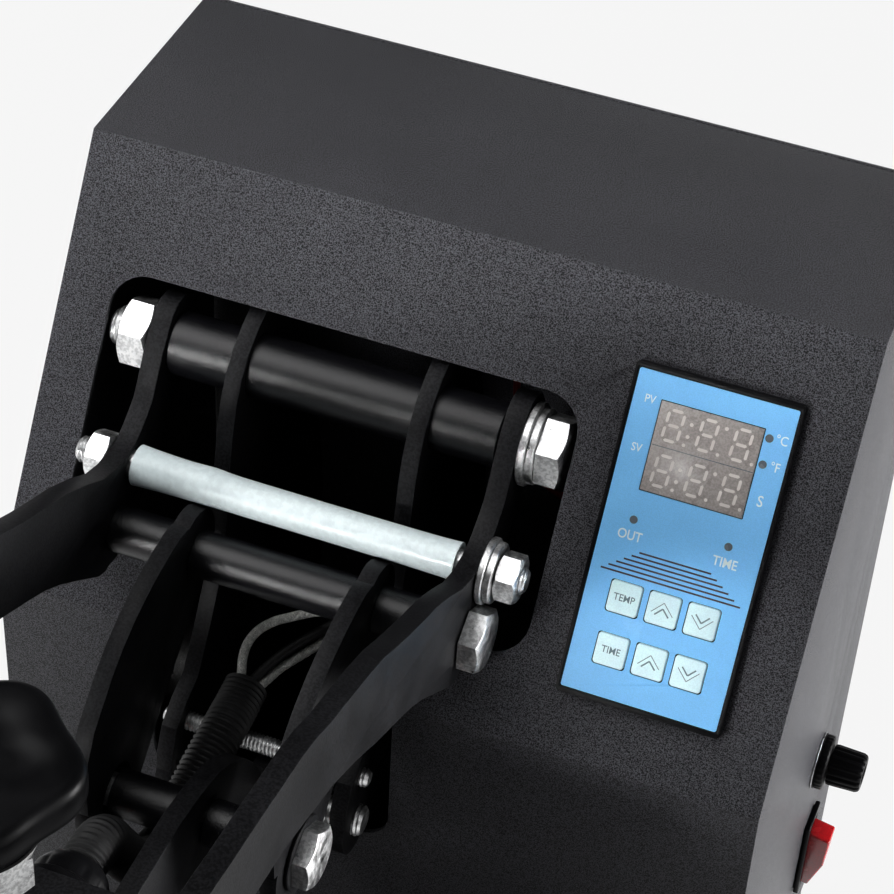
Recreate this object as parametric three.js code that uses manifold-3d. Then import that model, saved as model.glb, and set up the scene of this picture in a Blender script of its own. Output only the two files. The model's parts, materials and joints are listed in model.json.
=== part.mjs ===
// Toggle heat press for caps: a swing handle brings a curved hot shoe down onto a cap form.
// Drawn closed. Press frame: X right from the middle of the toggle, Y back, Z up, with Y = 0 and
// Z = 0 on the bend between the housing's upright front and its leaning panel. The group that
// holds the pieces is then moved so that the origin is under the middle, on the rest plane.
import * as THREE from 'three'
import { mergeVertices } from 'three/addons/utils/BufferGeometryUtils.js'
import Module from 'manifold-3d'

const wasm = await Module()
wasm.setup()

// Clearances
const seatGap = 0.3
const runGap = 0.3
const overrun = 4

// Smoothness
const roundSides = 24
const smallSides = 12
const cornerSteps = 6
const armSteps = 72
const archSteps = 18

// Housing, a folded sheet box open at the back
const housingWidth = 235
const toggleOffset = 30
const bendHeight = 200
const panelLeanDeg = 32
const panelLength = 137
const topDepth = 77.8
const sheet = 1.5
const windowHalfWidth = 71.7
const windowLow = 23
const windowHigh = 99.6
const windowCorner = 11
const notchHalfWidth = 38.5
const notchDepth = 60.5
const notchCorner = 10

// Base plate and feet
const footHeight = 12
const footRadius = 14
const footTopShare = 0.82
const footInset = 24
const deckThickness = 6
const deckFrontReach = 232
const deckCorner = 18

// Toggle, seen from the side: places are shares of one span, along Y and up Z
const toggleSpan = 100
const handlePivotShare = [0.495, 0.664]
const stopRodShare = [0.18, 0.448]
const linkPivotShare = [0.055, 0.304]
const shoePivotShare = [-0.49, -0.15]
const armPivotShare = [-0.05, -0.49]
const tieRodShare = [-0.02, -0.33]

// Frame plates
const framePlate = 5
const frameInnerX = 25.5
const frameFootFront = 30
const frameFootRear = 100
const armPivotBossShare = 0.11
const tieRodRadius = 3
const frameUpperShares = [
  [0.66, 0.82], [0.58, 0.83], [0.5, 0.8], [0.43, 0.76], [0.375, 0.7], [0.34, 0.63],
  [0.315, 0.55], [0.295, 0.45], [0.28, 0.36], [0.265, 0.24], [0.22, 0.06], [0.12, -0.11],
  [0.05, -0.21], [-0.03, -0.24], [-0.1, -0.29], [-0.14, -0.38], [-0.15, -0.49], [-0.05, -0.58],
  [0.03, -0.58], [0.08, -0.6], [0.18, -0.66], [0.25, -0.78]
]
const frameKneeShare = -0.92
const frameBackShares = [[1, -0.2], [0.93, 0.3], [0.84, 0.58], [0.75, 0.75]]

// Handle arms
const armPlate = 6
const armInnerX = 51
const armReach = 350
const armEndRadius = 14
const armLobeShare = 0.12
const armHandleRiseShare = 0.16
const armHeelShares = [
  [0.135, 0.212], [0.3, 0.33], [0.46, 0.47], [0.58, 0.54], [0.635, 0.6], [0.645, 0.68],
  [0.6, 0.765], [0.53, 0.8], [0.465, 0.78], [0.425, 0.735], [0.385, 0.683], [0.355, 0.633],
  [0.315, 0.573], [0.255, 0.533], [0.205, 0.508], [0.115, 0.503], [0.005, 0.533],
  [-0.155, 0.633], [-0.315, 0.703]
]
const armTopShares = [
  [0.274, 0.03], [0.309, 0.048], [0.351, 0.063], [0.409, 0.08], [0.446, 0.094],
  [0.489, 0.101], [0.531, 0.108], [0.569, 0.113], [0.609, 0.12], [0.694, 0.131],
  [0.794, 0.146], [0.9, 0.161], [0.985, 0.2]
]
const armUnderShares = [
  [1.015, 0.122], [0.9, 0.096], [0.794, 0.08], [0.694, 0.064], [0.609, 0.051],
  [0.534, 0.04], [0.489, 0.034], [0.451, 0.023], [0.4, 0.008], [0.346, -0.017],
  [0.323, -0.03], [0.283, -0.049], [0.246, -0.067]
]
const armBellyShares = [[-0.235, 0.343], [-0.055, 0.203], [0.005, 0.193]]

// Handle pivot: bolt, tube, washers and nut
const pivotBoltRadius = 6
const pivotHeadFlats = 19
const pivotHeadHeight = 7.5
const pivotNutHeight = 9.2
const pivotThreadProud = 4.5
const pivotTubeRadius = 9.5
const pivotWasherRadius = 12.3
const pivotWasherThickness = 2.3

// Stop rod with its sleeve
const stopRodRadius = 4
const stopSleeveRadius = 5.3
const stopSleeveShort = 1.7
const stopNutFlats = 13
const stopNutHeight = 6.5
const stopThreadProud = 4
const stopThreadShort = 1.5
const stopWasherRadius = 9.75
const stopWasherThickness = 2

// Links and their bolts
const linkPlate = 5
const linkTopRadius = 13
const linkFootRadius = 16
const linkTravel = 3.6
const linkFrontShares = [
  [0.012, 0.434], [-0.04, 0.445], [-0.11, 0.44], [-0.18, 0.43], [-0.26, 0.412], [-0.34, 0.385],
  [-0.41, 0.352], [-0.475, 0.31], [-0.54, 0.255], [-0.6, 0.2], [-0.645, 0.125], [-0.665, 0.03],
  [-0.66, -0.08]
]
const linkBoltRadius = 5
const linkHeadFlats = 17
const linkHeadHeight = 6.4
const linkNutHeight = 8
const linkThreadProud = 3
const linkTubeRadius = 7
const shoeFlangeRadius = 11.2
const shoeFlangeThickness = 1.2
const armRodProud = 2.5

// Platen arm, one middle plate that carries the hood
const platenArmPlate = 6
const hoodRear = 104
const platenArmTopShares = [
  [-0.05, -0.385], [-0.105, -0.385], [-0.135, -0.305], [-0.18, -0.225], [-0.243, -0.141],
  [-0.33, -0.07], [-0.41, -0.025], [-0.54, 0.01], [-0.67, 0.03], [-0.82, 0.03]
]
const platenArmRoot = -3
const platenArmTip = 29
const platenArmUnderShares = [[-0.8, -0.37], [-0.6, -0.46], [-0.3, -0.57], [-0.05, -0.595]]

// Hood over the hot shoe
const hoodHalfWidth = 79
const hoodDepth = 116
const hoodTop = 16
const hoodBottom = 30
const hoodSheet = 2
const collarRadius = 15
const collarHeight = 12

// Hot shoe, board above it, and the cap form below
const shoeHalfWidth = 72
const shoeDepth = 96
const shoeTop = 13
const shoeArchTop = 23
const shoeSag = 23
const boardThickness = 8
const boardInset = 3
const padThickness = 8
const capRoom = 1.5
const padHalfWidth = 70
const formHalfWidth = 68
const formDepth = 90
const formBottom = 84
const postHalfWidth = 28
const postDepth = 46

// Spindle with its star knob
const spindleRadius = 8
const spindleNutFlats = 24
const spindleNutHeight = 12
const hubLow = 104
const hubWaist = 110
const knobLow = 116
const knobHigh = 128
const knobRadius = 26
const knobLobes = 5
const knobLobeDepth = 3
const knobTurnDeg = 14
const knobSteps = 40
const knobBevel = 3
const hubRadius = 15
const hubWaistRadius = 9.5
const knobWasherRadius = 14
const knobWasherThickness = 2.5

// Gland and ribbed conduit on the hood's rear wall
const glandX = -16
const glandFlangeRadius = 13
const glandFlangeThickness = 5
const glandDomeRadius = 11.5
const glandLength = 14
const glandMouthRadius = 9.2
const glandStemLength = 8
const conduitRadius = 6.8
const conduitRoot = 5.8
const conduitBore = 4.6
const conduitRibs = 44
const conduitPoints = 8
const conduitBoreSkip = 5
const conduitRoute = [
  [-10.4, 6.3, -20.2], [-10.4, -1.5, -21.6], [-10.4, -9, -22.3], [-11, -19, -25],
  [-12, -33.5, -30], [-12.5, -49.5, -32.5], [-13.5, -61.5, -27], [-15, -69.5, -13],
  [-16, -75.5, -2.5], [-16, -82, 0], [-16, -89.7, 0]
]

// Braided leads from the conduit into the housing
const leadRadius = 1.4
const leadSides = 8
const leadSteps = 16
const leadNearRoute = [
  [-12.3, 6.9, -17], [-13.5, 11, -13.2], [-13.5, 14.5, -10.5], [-11.8, 18, -7.9],
  [-7.8, 21.5, -5.5], [-4, 24, -4.6], [1, 27.5, -3.9], [5.6, 28.5, -2.2]
]
const leadFarRoute = [
  [-8.4, 7.1, -22], [-6.5, 11.5, -21.2], [-4.4, 17, -20.4], [-0.1, 22, -17.9],
  [3.6, 27, -16.4], [7.2, 32, -14.7]
]

// Handle bar and grip
const barRadius = 8
const barProud = 5
const gripRadius = 15
const gripShort = 3

// Controller in the leaning panel
const controllerFromRight = 40.1
const controllerV = 67.1
const bezelWidth = 48
const bezelHeight = 96
const bezelProud = 3
const bezelCorner = 1.2
const caseMargin = 1.7
const caseDepth = 60
const labelWidth = 45.4
const labelHeight = 92.4
const labelCorner = 0.6
const labelRecess = 0.8
const labelThickness = 0.5
const displayWidth = 29.2
const displayHeight = 25.4
const displayRise = 26.2
const displayThickness = 0.7
const keySize = 9
const keyCorner = 1
const keyPitch = 11.2
const keyUpperDrop = 17.4
const keyLowerDrop = 32.7
const keyTravel = 0.4
const keyPocket = 0.8
const keyProud = 0.25

// Fuse holder and rocker switch in the right side
const fuseBack = 104
const fuseDrop = 83
const fuseFlangeRadius = 9.3
const fuseFlangeThickness = 4
const fuseBodyRadius = 5.8
const fuseBodyDepth = 30
const fuseCapRadius = 6.8
const fuseCapHeight = 11
const fuseFlutes = 16
const fuseFluteDepth = 0.6
const switchBack = 112
const switchDrop = 135
const switchHeight = 33
const switchWidth = 14
const switchFlange = 2
const switchWall = 1.2
const switchDepth = 18
const rockerSideGap = 0.5
const rockerEndRoom = 1.9
const rockerThickness = 9.5
const rockerTiltDeg = 11
const rockerCreaseDeg = -8
const rockerCreaseProud = 8.4
const rockerPivotDepth = 3.5

// Mains socket in the back cover
const inletFromRight = 47.5
const inletDrop = 120
const inletWidth = 48
const inletHeight = 26
const inletFlange = 3.5
const inletBodyWidth = 28
const inletBodyHeight = 21
const inletBodyDepth = 22
const inletHollowWidth = 24
const inletHollowHeight = 17.5
const inletHollowDepth = 17
const inletPinWidth = 2
const inletPinHeight = 3.6
const inletPinLength = 12
const inletPinPitch = 7
const inletPinRise = 2.5

// Looks, as colour, roughness and metalness
const blackPaint = ['#1d1d20', 0.6, 0.1]
const housingPaint = ['#2b2b30', 0.62, 0.1]
const blackPlastic = ['#131315', 0.5, 0]
const rubberLook = ['#101011', 0.85, 0]
const zincLook = ['#c9cbcc', 0.35, 0.9]
const darkSteel = ['#1a1a1c', 0.45, 0.5]
const sleeveLook = ['#dfeef2', 0.4, 0]
const labelLook = ['#4a9fd8', 0.5, 0]
const displayLook = ['#8d8280', 0.3, 0]
const keyLook = ['#b9dcef', 0.5, 0]
const redLook = ['#c3141c', 0.3, 0]
const braidLook = ['#9c9c98', 0.6, 0.3]
const aluminiumLook = ['#b5b7b9', 0.45, 0.9]
const boardLook = ['#d8d2c4', 0.9, 0]
const siliconeLook = ['#b5482f', 0.75, 0]

// Places worked out from the sizes above
const lean = THREE.MathUtils.degToRad(panelLeanDeg)
const leanSin = Math.sin(lean)
const leanCos = Math.cos(lean)
const panelTopY = panelLength * leanSin
const panelTopZ = panelLength * leanCos
const housingBack = panelTopY + topDepth
const housingLeft = toggleOffset - housingWidth / 2
const housingRight = toggleOffset + housingWidth / 2
const controllerU = housingRight - controllerFromRight
const inletX = housingRight - inletFromRight
const deckTop = footHeight + deckThickness - bendHeight
const deckLow = footHeight - bendHeight
const housingLow = deckTop + seatGap
const onToggle = (share) => [share[0] * toggleSpan, share[1] * toggleSpan]
const handlePivot = onToggle(handlePivotShare)
const stopPivot = onToggle(stopRodShare)
const tieRodPlace = onToggle(tieRodShare)
const linkPivot = onToggle(linkPivotShare)
const shoePivot = onToggle(shoePivotShare)
const armPivot = onToggle(armPivotShare)
const armOuterX = armInnerX + armPlate
const frameOuterX = frameInnerX + framePlate
const linkOuterX = frameInnerX + linkPlate
const onArm = (share) => [
  handlePivot[0] - share[0] * armReach,
  handlePivot[1] + share[1] * armReach
]
const barPlace = onArm([1, armHandleRiseShare])
const spindleY = -hoodRear - hoodDepth / 2

const axisX = new THREE.Vector3(1, 0, 0)
const axisY = new THREE.Vector3(0, 1, 0)
const axisZ = new THREE.Vector3(0, 0, 1)
const sideView = new THREE.Matrix4().makeBasis(axisY, axisZ, axisX)
const frontView = new THREE.Matrix4().makeBasis(axisX, axisZ, axisY.clone().negate())
const panelUp = new THREE.Vector3(0, leanSin, leanCos)
const panelOut = new THREE.Vector3(0, -leanCos, leanSin)
const panelView = new THREE.Matrix4().makeBasis(axisX, panelUp, panelOut)

const press = new THREE.Group()

// A closed manifold from a three.js geometry, faces turned outward
function solidOf(geometry) {
  const bare = geometry.clone()
  for (const name of Object.keys(bare.attributes)) {
    if (name !== 'position') bare.deleteAttribute(name)
  }
  const merged = mergeVertices(bare)
  const spots = merged.attributes.position
  const index = merged.index.array
  const a = new THREE.Vector3()
  const b = new THREE.Vector3()
  const c = new THREE.Vector3()
  const kept = []
  let volume = 0
  for (let i = 0; i < index.length; i += 3) {
    const [p, q, r] = [index[i], index[i + 1], index[i + 2]]
    if (p === q || q === r || r === p) continue
    a.fromBufferAttribute(spots, p)
    b.fromBufferAttribute(spots, q)
    c.fromBufferAttribute(spots, r)
    volume += a.dot(b.cross(c))
    kept.push(p, q, r)
  }
  if (volume < 0) {
    for (let i = 0; i < kept.length; i += 3) {
      const held = kept[i + 1]
      kept[i + 1] = kept[i + 2]
      kept[i + 2] = held
    }
  }
  const mesh = new wasm.Mesh({
    numProp: 3,
    vertProperties: new Float32Array(spots.array),
    triVerts: new Uint32Array(kept)
  })
  return new wasm.Manifold(mesh)
}

function geometryOf(solid) {
  const mesh = solid.getMesh()
  const geometry = new THREE.BufferGeometry()
  geometry.setAttribute('position', new THREE.BufferAttribute(mesh.vertProperties, mesh.numProp))
  geometry.setIndex(new THREE.BufferAttribute(mesh.triVerts, 1))
  return geometry
}

function piece(name, shape, look) {
  const geometry = shape.isBufferGeometry ? shape : geometryOf(shape)
  const [color, roughness, metalness] = look
  const material = new THREE.MeshStandardMaterial({ color, roughness, metalness })
  const mesh = new THREE.Mesh(geometry, material)
  mesh.name = name
  press.add(mesh)
}

function cut(body, tools) {
  return tools.reduce((rest, tool) => rest.subtract(tool), body)
}

function join(bodies) {
  return bodies.reduce((sum, body) => sum.add(body))
}

function box(x, y, z) {
  const geometry = new THREE.BoxGeometry(x[1] - x[0], y[1] - y[0], z[1] - z[0])
  geometry.translate((x[0] + x[1]) / 2, (y[0] + y[1]) / 2, (z[0] + z[1]) / 2)
  return solidOf(geometry)
}

// An outline in its own plane, drawn out from one depth to another along the view's third axis
function drawn(points, view, from, to) {
  const shape = new THREE.Shape(points.map((p) => new THREE.Vector2(p[0], p[1])))
  const geometry = new THREE.ExtrudeGeometry(shape, { depth: to - from, bevelEnabled: false })
  geometry.translate(0, 0, from)
  geometry.applyMatrix4(view)
  return solidOf(geometry)
}

const plate = (points, fromX, toX) => drawn(points, sideView, fromX, toX)
const onPanel = (points, from, to) => drawn(points, panelView, from, to)

function roundedBox(middle, width, height, radius) {
  const points = []
  const corners = [[1, 1], [-1, 1], [-1, -1], [1, -1]]
  corners.forEach(([sx, sy], quarter) => {
    for (let i = 0; i <= cornerSteps; i++) {
      const angle = (quarter + i / cornerSteps) * Math.PI / 2
      points.push([
        middle[0] + sx * (width / 2 - radius) + radius * Math.cos(angle),
        middle[1] + sy * (height / 2 - radius) + radius * Math.sin(angle)
      ])
    }
  })
  return points
}

// A round or six-sided bar along X about a place in the side view
function rodX(place, radius, fromX, toX, sides = roundSides) {
  const geometry = new THREE.CylinderGeometry(radius, radius, toX - fromX, sides)
  geometry.rotateZ(Math.PI / 2)
  geometry.translate((fromX + toX) / 2, place[0], place[1])
  return solidOf(geometry)
}

const hexX = (place, flats, fromX, toX) => rodX(place, flats / Math.sqrt(3), fromX, toX, 6)

function tubeX(place, radius, bore, fromX, toX, sides = roundSides) {
  const hole = rodX(place, bore, fromX - overrun, toX + overrun, sides)
  return cut(rodX(place, radius, fromX, toX, sides), [hole])
}

// A turned piece: radius and distance along its axis, from its own zero point
function turned(profile, axis, place, sides = roundSides) {
  const points = profile.map((p) => new THREE.Vector2(p[0], p[1]))
  const geometry = new THREE.LatheGeometry(points, sides)
  const turn = new THREE.Quaternion().setFromUnitVectors(axisY, axis)
  geometry.applyQuaternion(turn)
  geometry.translate(place[0], place[1], place[2])
  return solidOf(geometry)
}

function hexAlong(axis, place, flats, from, to) {
  const radius = flats / Math.sqrt(3)
  return turned([[0, from], [radius, from], [radius, to], [0, to]], axis, place, 6)
}

function smooth(points, steps) {
  const curve = new THREE.SplineCurve(points.map((p) => new THREE.Vector2(p[0], p[1])))
  return curve.getPoints(steps).map((p) => [p.x, p.y])
}

// Base plate and rubber feet
{
  const middle = [toggleOffset, (housingBack - deckFrontReach) / 2]
  const outline = roundedBox(middle, housingWidth, housingBack + deckFrontReach, deckCorner)
  const flat = new THREE.Matrix4()
  piece('base_plate', drawn(outline, flat, deckLow, deckTop), blackPaint)
  const across = { left: housingLeft + footInset, right: housingRight - footInset }
  const along = { front: footInset - deckFrontReach, back: housingBack - footInset }
  for (const [side, x] of Object.entries(across)) {
    for (const [end, y] of Object.entries(along)) {
      const top = footHeight - seatGap
      const profile = [[0, 0], [footRadius * footTopShare, 0], [footRadius, top], [0, top]]
      piece(`foot_${end}_${side}`, turned(profile, axisZ, [x, y, -bendHeight]), rubberLook)
    }
  }
}

// Frame plates that carry the whole toggle
{
  const upper = frameUpperShares.map(onToggle)
  const back = frameBackShares.map((s) => [s[0] * frameFootRear, s[1] * toggleSpan])
  const outline = [
    ...upper,
    [frameFootFront, frameKneeShare * toggleSpan],
    [frameFootFront, deckTop + seatGap],
    [frameFootRear, deckTop + seatGap],
    ...back
  ]
  for (const [side, from] of [['left', -frameOuterX], ['right', frameInnerX]]) {
    const to = from + framePlate
    const body = join([
      plate(outline, from, to),
      rodX(armPivot, armPivotBossShare * toggleSpan, from, to)
    ])
    const tools = [
      rodX(handlePivot, pivotTubeRadius + runGap, from - overrun, to + overrun),
      rodX(armPivot, linkBoltRadius + seatGap, from - overrun, to + overrun, smallSides),
      rodX(tieRodPlace, tieRodRadius + seatGap, from - overrun, to + overrun, smallSides)
    ]
    piece(`frame_plate_${side}`, cut(body, tools), blackPaint)
  }
  const end = frameOuterX + armRodProud
  piece('arm_pivot_rod', rodX(armPivot, linkBoltRadius, -end, end, smallSides), zincLook)
  piece('tie_rod', rodX(tieRodPlace, tieRodRadius, -end, end, smallSides), zincLook)
}

// Housing shell, its back cover and what sits in them
const panelMiddle = [controllerU, controllerV]
const fusePlace = [housingRight, fuseBack, -fuseDrop]
const switchPlace = [housingRight, switchBack, -switchDrop]
{
  const shellBack = housingBack - sheet - seatGap
  const outer = [
    [0, housingLow], [0, 0], [panelTopY, panelTopZ], [shellBack, panelTopZ], [shellBack, housingLow]
  ]
  const innerTop = panelTopZ - sheet
  const inner = [
    [sheet, housingLow - overrun],
    [sheet, -sheet * (1 - leanCos) / leanSin],
    [(sheet + innerTop * leanSin) / leanCos, innerTop],
    [housingBack + overrun, innerTop],
    [housingBack + overrun, housingLow - overrun]
  ]
  const windowMiddle = [0, (windowLow + windowHigh) / 2]
  const windowHeight = windowHigh - windowLow
  const opening = roundedBox(windowMiddle, windowHalfWidth * 2, windowHeight, windowCorner)
  const slot = roundedBox([0, 0], notchHalfWidth * 2, notchDepth * 2, notchCorner)
  const throat = [
    [-notchHalfWidth, -overrun], [notchHalfWidth, -overrun],
    [notchHalfWidth, windowLow + overrun], [-notchHalfWidth, windowLow + overrun]
  ]
  const hole = [bezelWidth - caseMargin + seatGap * 2, bezelHeight - caseMargin + seatGap * 2]
  const tools = [
    plate(inner, housingLeft + sheet, housingRight - sheet),
    onPanel(opening, -windowCorner, overrun),
    onPanel(throat, -overrun, overrun),
    drawn(slot, frontView, -overrun, overrun),
    onPanel(roundedBox(panelMiddle, hole[0], hole[1], seatGap), -overrun, overrun),
    rodX([fuseBack, -fuseDrop], fuseBodyRadius + seatGap, housingRight - overrun,
      housingRight + overrun),
    box([housingRight - overrun, housingRight + overrun],
      [switchBack - switchWidth / 2 + switchWall - seatGap,
        switchBack + switchWidth / 2 - switchWall + seatGap],
      [-switchDrop - switchHeight / 2 + switchWall - seatGap,
        -switchDrop + switchHeight / 2 - switchWall + seatGap])
  ]
  const shell = cut(plate(outer, housingLeft, housingRight), tools)
  piece('housing_shell', shell, housingPaint)

  const coverSpan = [housingBack - sheet, housingBack]
  const cover = box([housingLeft, housingRight], coverSpan, [housingLow, panelTopZ])
  const mouth = box(
    [inletX - inletBodyWidth / 2 - seatGap, inletX + inletBodyWidth / 2 + seatGap],
    [housingBack - overrun, housingBack + overrun],
    [-inletDrop - inletBodyHeight / 2 - seatGap, -inletDrop + inletBodyHeight / 2 + seatGap]
  )
  piece('housing_back_cover', cut(cover, [mouth]), housingPaint)
}

// Controller: case with its rim, blue face, display and six keys
{
  const rim = roundedBox(panelMiddle, bezelWidth, bezelHeight, bezelCorner)
  const bodyWidth = bezelWidth - caseMargin
  const bodyHeight = bezelHeight - caseMargin
  const body = roundedBox(panelMiddle, bodyWidth, bodyHeight, seatGap)
  const faceDepth = bezelProud - labelRecess
  const recessWidth = labelWidth + seatGap * 2
  const recessHeight = labelHeight + seatGap * 2
  const recess = roundedBox(panelMiddle, recessWidth, recessHeight, labelCorner)
  const keys = []
  for (const [row, drop] of [['temp', keyUpperDrop], ['time', keyLowerDrop]]) {
    const names = [`key_${row}`, `key_${row}_up`, `key_${row}_down`]
    names.forEach((name, i) => {
      keys.push([name, [controllerU + (i - 1) * keyPitch, controllerV - drop]])
    })
  }
  const pocketFloor = faceDepth - keyPocket
  const keyRoom = keySize + seatGap * 2
  const pockets = keys.map(([, at]) => (
    onPanel(roundedBox(at, keyRoom, keyRoom, keyCorner), pocketFloor, bezelProud + overrun)
  ))
  const box0 = join([onPanel(rim, seatGap, bezelProud), onPanel(body, -caseDepth, bezelProud / 2)])
  const well = onPanel(recess, faceDepth, bezelProud + overrun)
  piece('controller_case', cut(box0, [well, ...pockets]), blackPlastic)

  const displayAt = [controllerU, controllerV + displayRise]
  const labelLow = faceDepth + seatGap
  const labelTop = labelLow + labelThickness
  const sheetOutline = roundedBox(panelMiddle, labelWidth, labelHeight, labelCorner)
  const viewWidth = displayWidth + seatGap * 2
  const viewHeight = displayHeight + seatGap * 2
  const holes = [
    onPanel(roundedBox(displayAt, viewWidth, viewHeight, seatGap), 0, bezelProud + overrun),
    ...pockets
  ]
  piece('controller_face', cut(onPanel(sheetOutline, labelLow, labelTop), holes), labelLook)
  const glass = roundedBox(displayAt, displayWidth, displayHeight, seatGap)
  piece('controller_display', onPanel(glass, labelLow, labelLow + displayThickness), displayLook)
  for (const [name, at] of keys) {
    const low = pocketFloor + seatGap + keyTravel
    const solid = onPanel(roundedBox(at, keySize, keySize, keyCorner), low, labelTop + keyProud)
    piece(name, solid, keyLook)
  }
}

// Fuse holder with its fluted cap
{
  const holder = [
    [0, -fuseBodyDepth], [fuseBodyRadius, -fuseBodyDepth], [fuseBodyRadius, seatGap],
    [fuseFlangeRadius, seatGap], [fuseFlangeRadius, fuseFlangeThickness], [0, fuseFlangeThickness]
  ]
  piece('fuse_holder', turned(holder, axisX, fusePlace), blackPlastic)
  const outline = []
  const steps = fuseFlutes * 2
  for (let i = 0; i < steps; i++) {
    const angle = i / steps * Math.PI * 2
    const radius = fuseCapRadius - (i % 2) * fuseFluteDepth
    outline.push([
      fuseBack + radius * Math.cos(angle),
      -fuseDrop + radius * Math.sin(angle)
    ])
  }
  const from = housingRight + fuseFlangeThickness + seatGap
  piece('fuse_cap', plate(outline, from, from + fuseCapHeight), blackPlastic)
}

// Rocker switch: a frame with its well, and the red rocker
{
  const y = [switchBack - switchWidth / 2, switchBack + switchWidth / 2]
  const z = [-switchDrop - switchHeight / 2, -switchDrop + switchHeight / 2]
  const inset = (span, by) => [span[0] + by, span[1] - by]
  const flange = box([housingRight + seatGap, housingRight + switchFlange], y, z)
  const wellBody = box([housingRight - switchDepth, housingRight + switchFlange],
    inset(y, switchWall), inset(z, switchWall))
  const well = box([housingRight - switchDepth + switchWall, housingRight + overrun],
    inset(y, switchWall * 2), inset(z, switchWall * 2))
  piece('switch_frame', cut(join([flange, wellBody]), [well]), blackPlastic)

  const half = switchHeight / 2 - switchWall * 2 - rockerEndRoom
  const pivotX = housingRight - rockerPivotDepth
  const tilt = THREE.MathUtils.degToRad(rockerTiltDeg)
  const crown = rockerPivotDepth + rockerCreaseProud
  const rise = half * Math.tan(THREE.MathUtils.degToRad(rockerCreaseDeg))
  const outline = [
    [-half, crown - rockerThickness], [-half, crown + rise], [0, crown],
    [half, crown + rise], [half, crown - rockerThickness]
  ]
  const turned0 = outline.map(([along, out]) => {
    const swung = [
      out * Math.cos(tilt) + along * Math.sin(tilt),
      along * Math.cos(tilt) - out * Math.sin(tilt)
    ]
    return [pivotX + swung[0], -switchDrop + swung[1]]
  })
  const yIn = inset(y, switchWall * 2 + rockerSideGap)
  piece('switch_rocker', drawn(turned0, frontView, -yIn[1], -yIn[0]), redLook)
}

// Mains socket in the back cover
{
  const z = -inletDrop
  const rim = box([inletX - inletWidth / 2, inletX + inletWidth / 2],
    [housingBack + seatGap, housingBack + inletFlange],
    [z - inletHeight / 2, z + inletHeight / 2])
  const body = box([inletX - inletBodyWidth / 2, inletX + inletBodyWidth / 2],
    [housingBack - inletBodyDepth, housingBack + inletFlange / 2],
    [z - inletBodyHeight / 2, z + inletBodyHeight / 2])
  const floor = housingBack + inletFlange - inletHollowDepth
  const hollow = box([inletX - inletHollowWidth / 2, inletX + inletHollowWidth / 2],
    [floor, housingBack + inletFlange + overrun],
    [z - inletHollowHeight / 2, z + inletHollowHeight / 2])
  const pins = [[-1, -1], [0, 1], [1, -1]].map(([side, up]) => {
    const x = inletX + side * inletPinPitch
    const at = z + up * inletPinRise
    return box([x - inletPinWidth / 2, x + inletPinWidth / 2],
      [floor - seatGap, floor + inletPinLength],
      [at - inletPinHeight / 2, at + inletPinHeight / 2])
  })
  const shellPart = cut(join([rim, body]), [hollow])
  piece('power_inlet', join([shellPart, ...pins]), blackPlastic)
}

// Handle arms
{
  const heel = armHeelShares.map(onToggle)
  const top = armTopShares.map(onArm)
  const under = armUnderShares.map(onArm)
  const belly = armBellyShares.map(onToggle)
  const outline = smooth([...heel, ...top, ...under, ...belly, heel[0]], armSteps)
  outline.pop()
  for (const [side, from] of [['left', -armOuterX], ['right', armInnerX]]) {
    const to = from + armPlate
    const body = join([
      plate(outline, from, to),
      rodX(linkPivot, armLobeShare * toggleSpan, from, to),
      rodX(barPlace, armEndRadius, from, to)
    ])
    const tools = [
      rodX(handlePivot, pivotBoltRadius + seatGap, from - overrun, to + overrun),
      rodX(stopPivot, stopRodRadius + seatGap, from - overrun, to + overrun, smallSides),
      rodX(linkPivot, linkBoltRadius + seatGap, from - overrun, to + overrun, smallSides),
      rodX(barPlace, barRadius + seatGap, from - overrun, to + overrun)
    ]
    piece(`handle_arm_${side}`, cut(body, tools), blackPaint)
  }
  const barEnd = armOuterX + barProud
  piece('handle_bar', rodX(barPlace, barRadius, -barEnd, barEnd), darkSteel)
  const gripEnd = armInnerX - gripShort
  const grip = tubeX(barPlace, gripRadius, barRadius + seatGap, -gripEnd, gripEnd)
  piece('handle_grip', grip, rubberLook)
}

// Handle pivot
{
  const seat = armOuterX + seatGap
  const stack = seat + pivotWasherThickness * 2 + seatGap
  const tail = seat + pivotNutHeight + pivotThreadProud
  const bolt = join([
    rodX(handlePivot, pivotBoltRadius, -tail, stack + pivotHeadHeight / 2),
    hexX(handlePivot, pivotHeadFlats, stack, stack + pivotHeadHeight)
  ])
  piece('pivot_bolt', bolt, zincLook)
  const bore = pivotBoltRadius + seatGap
  const washers = tubeX(handlePivot, pivotWasherRadius, bore, seat, stack - seatGap)
  piece('pivot_washers', washers, zincLook)
  const nut = cut(hexX(handlePivot, pivotHeadFlats, -seat - pivotNutHeight, -seat),
    [rodX(handlePivot, bore, -seat - pivotNutHeight - overrun, overrun - seat)])
  piece('pivot_nut', nut, zincLook)
  const half = armInnerX - seatGap
  piece('pivot_tube', tubeX(handlePivot, pivotTubeRadius, bore, -half, half), darkSteel)
}

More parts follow.
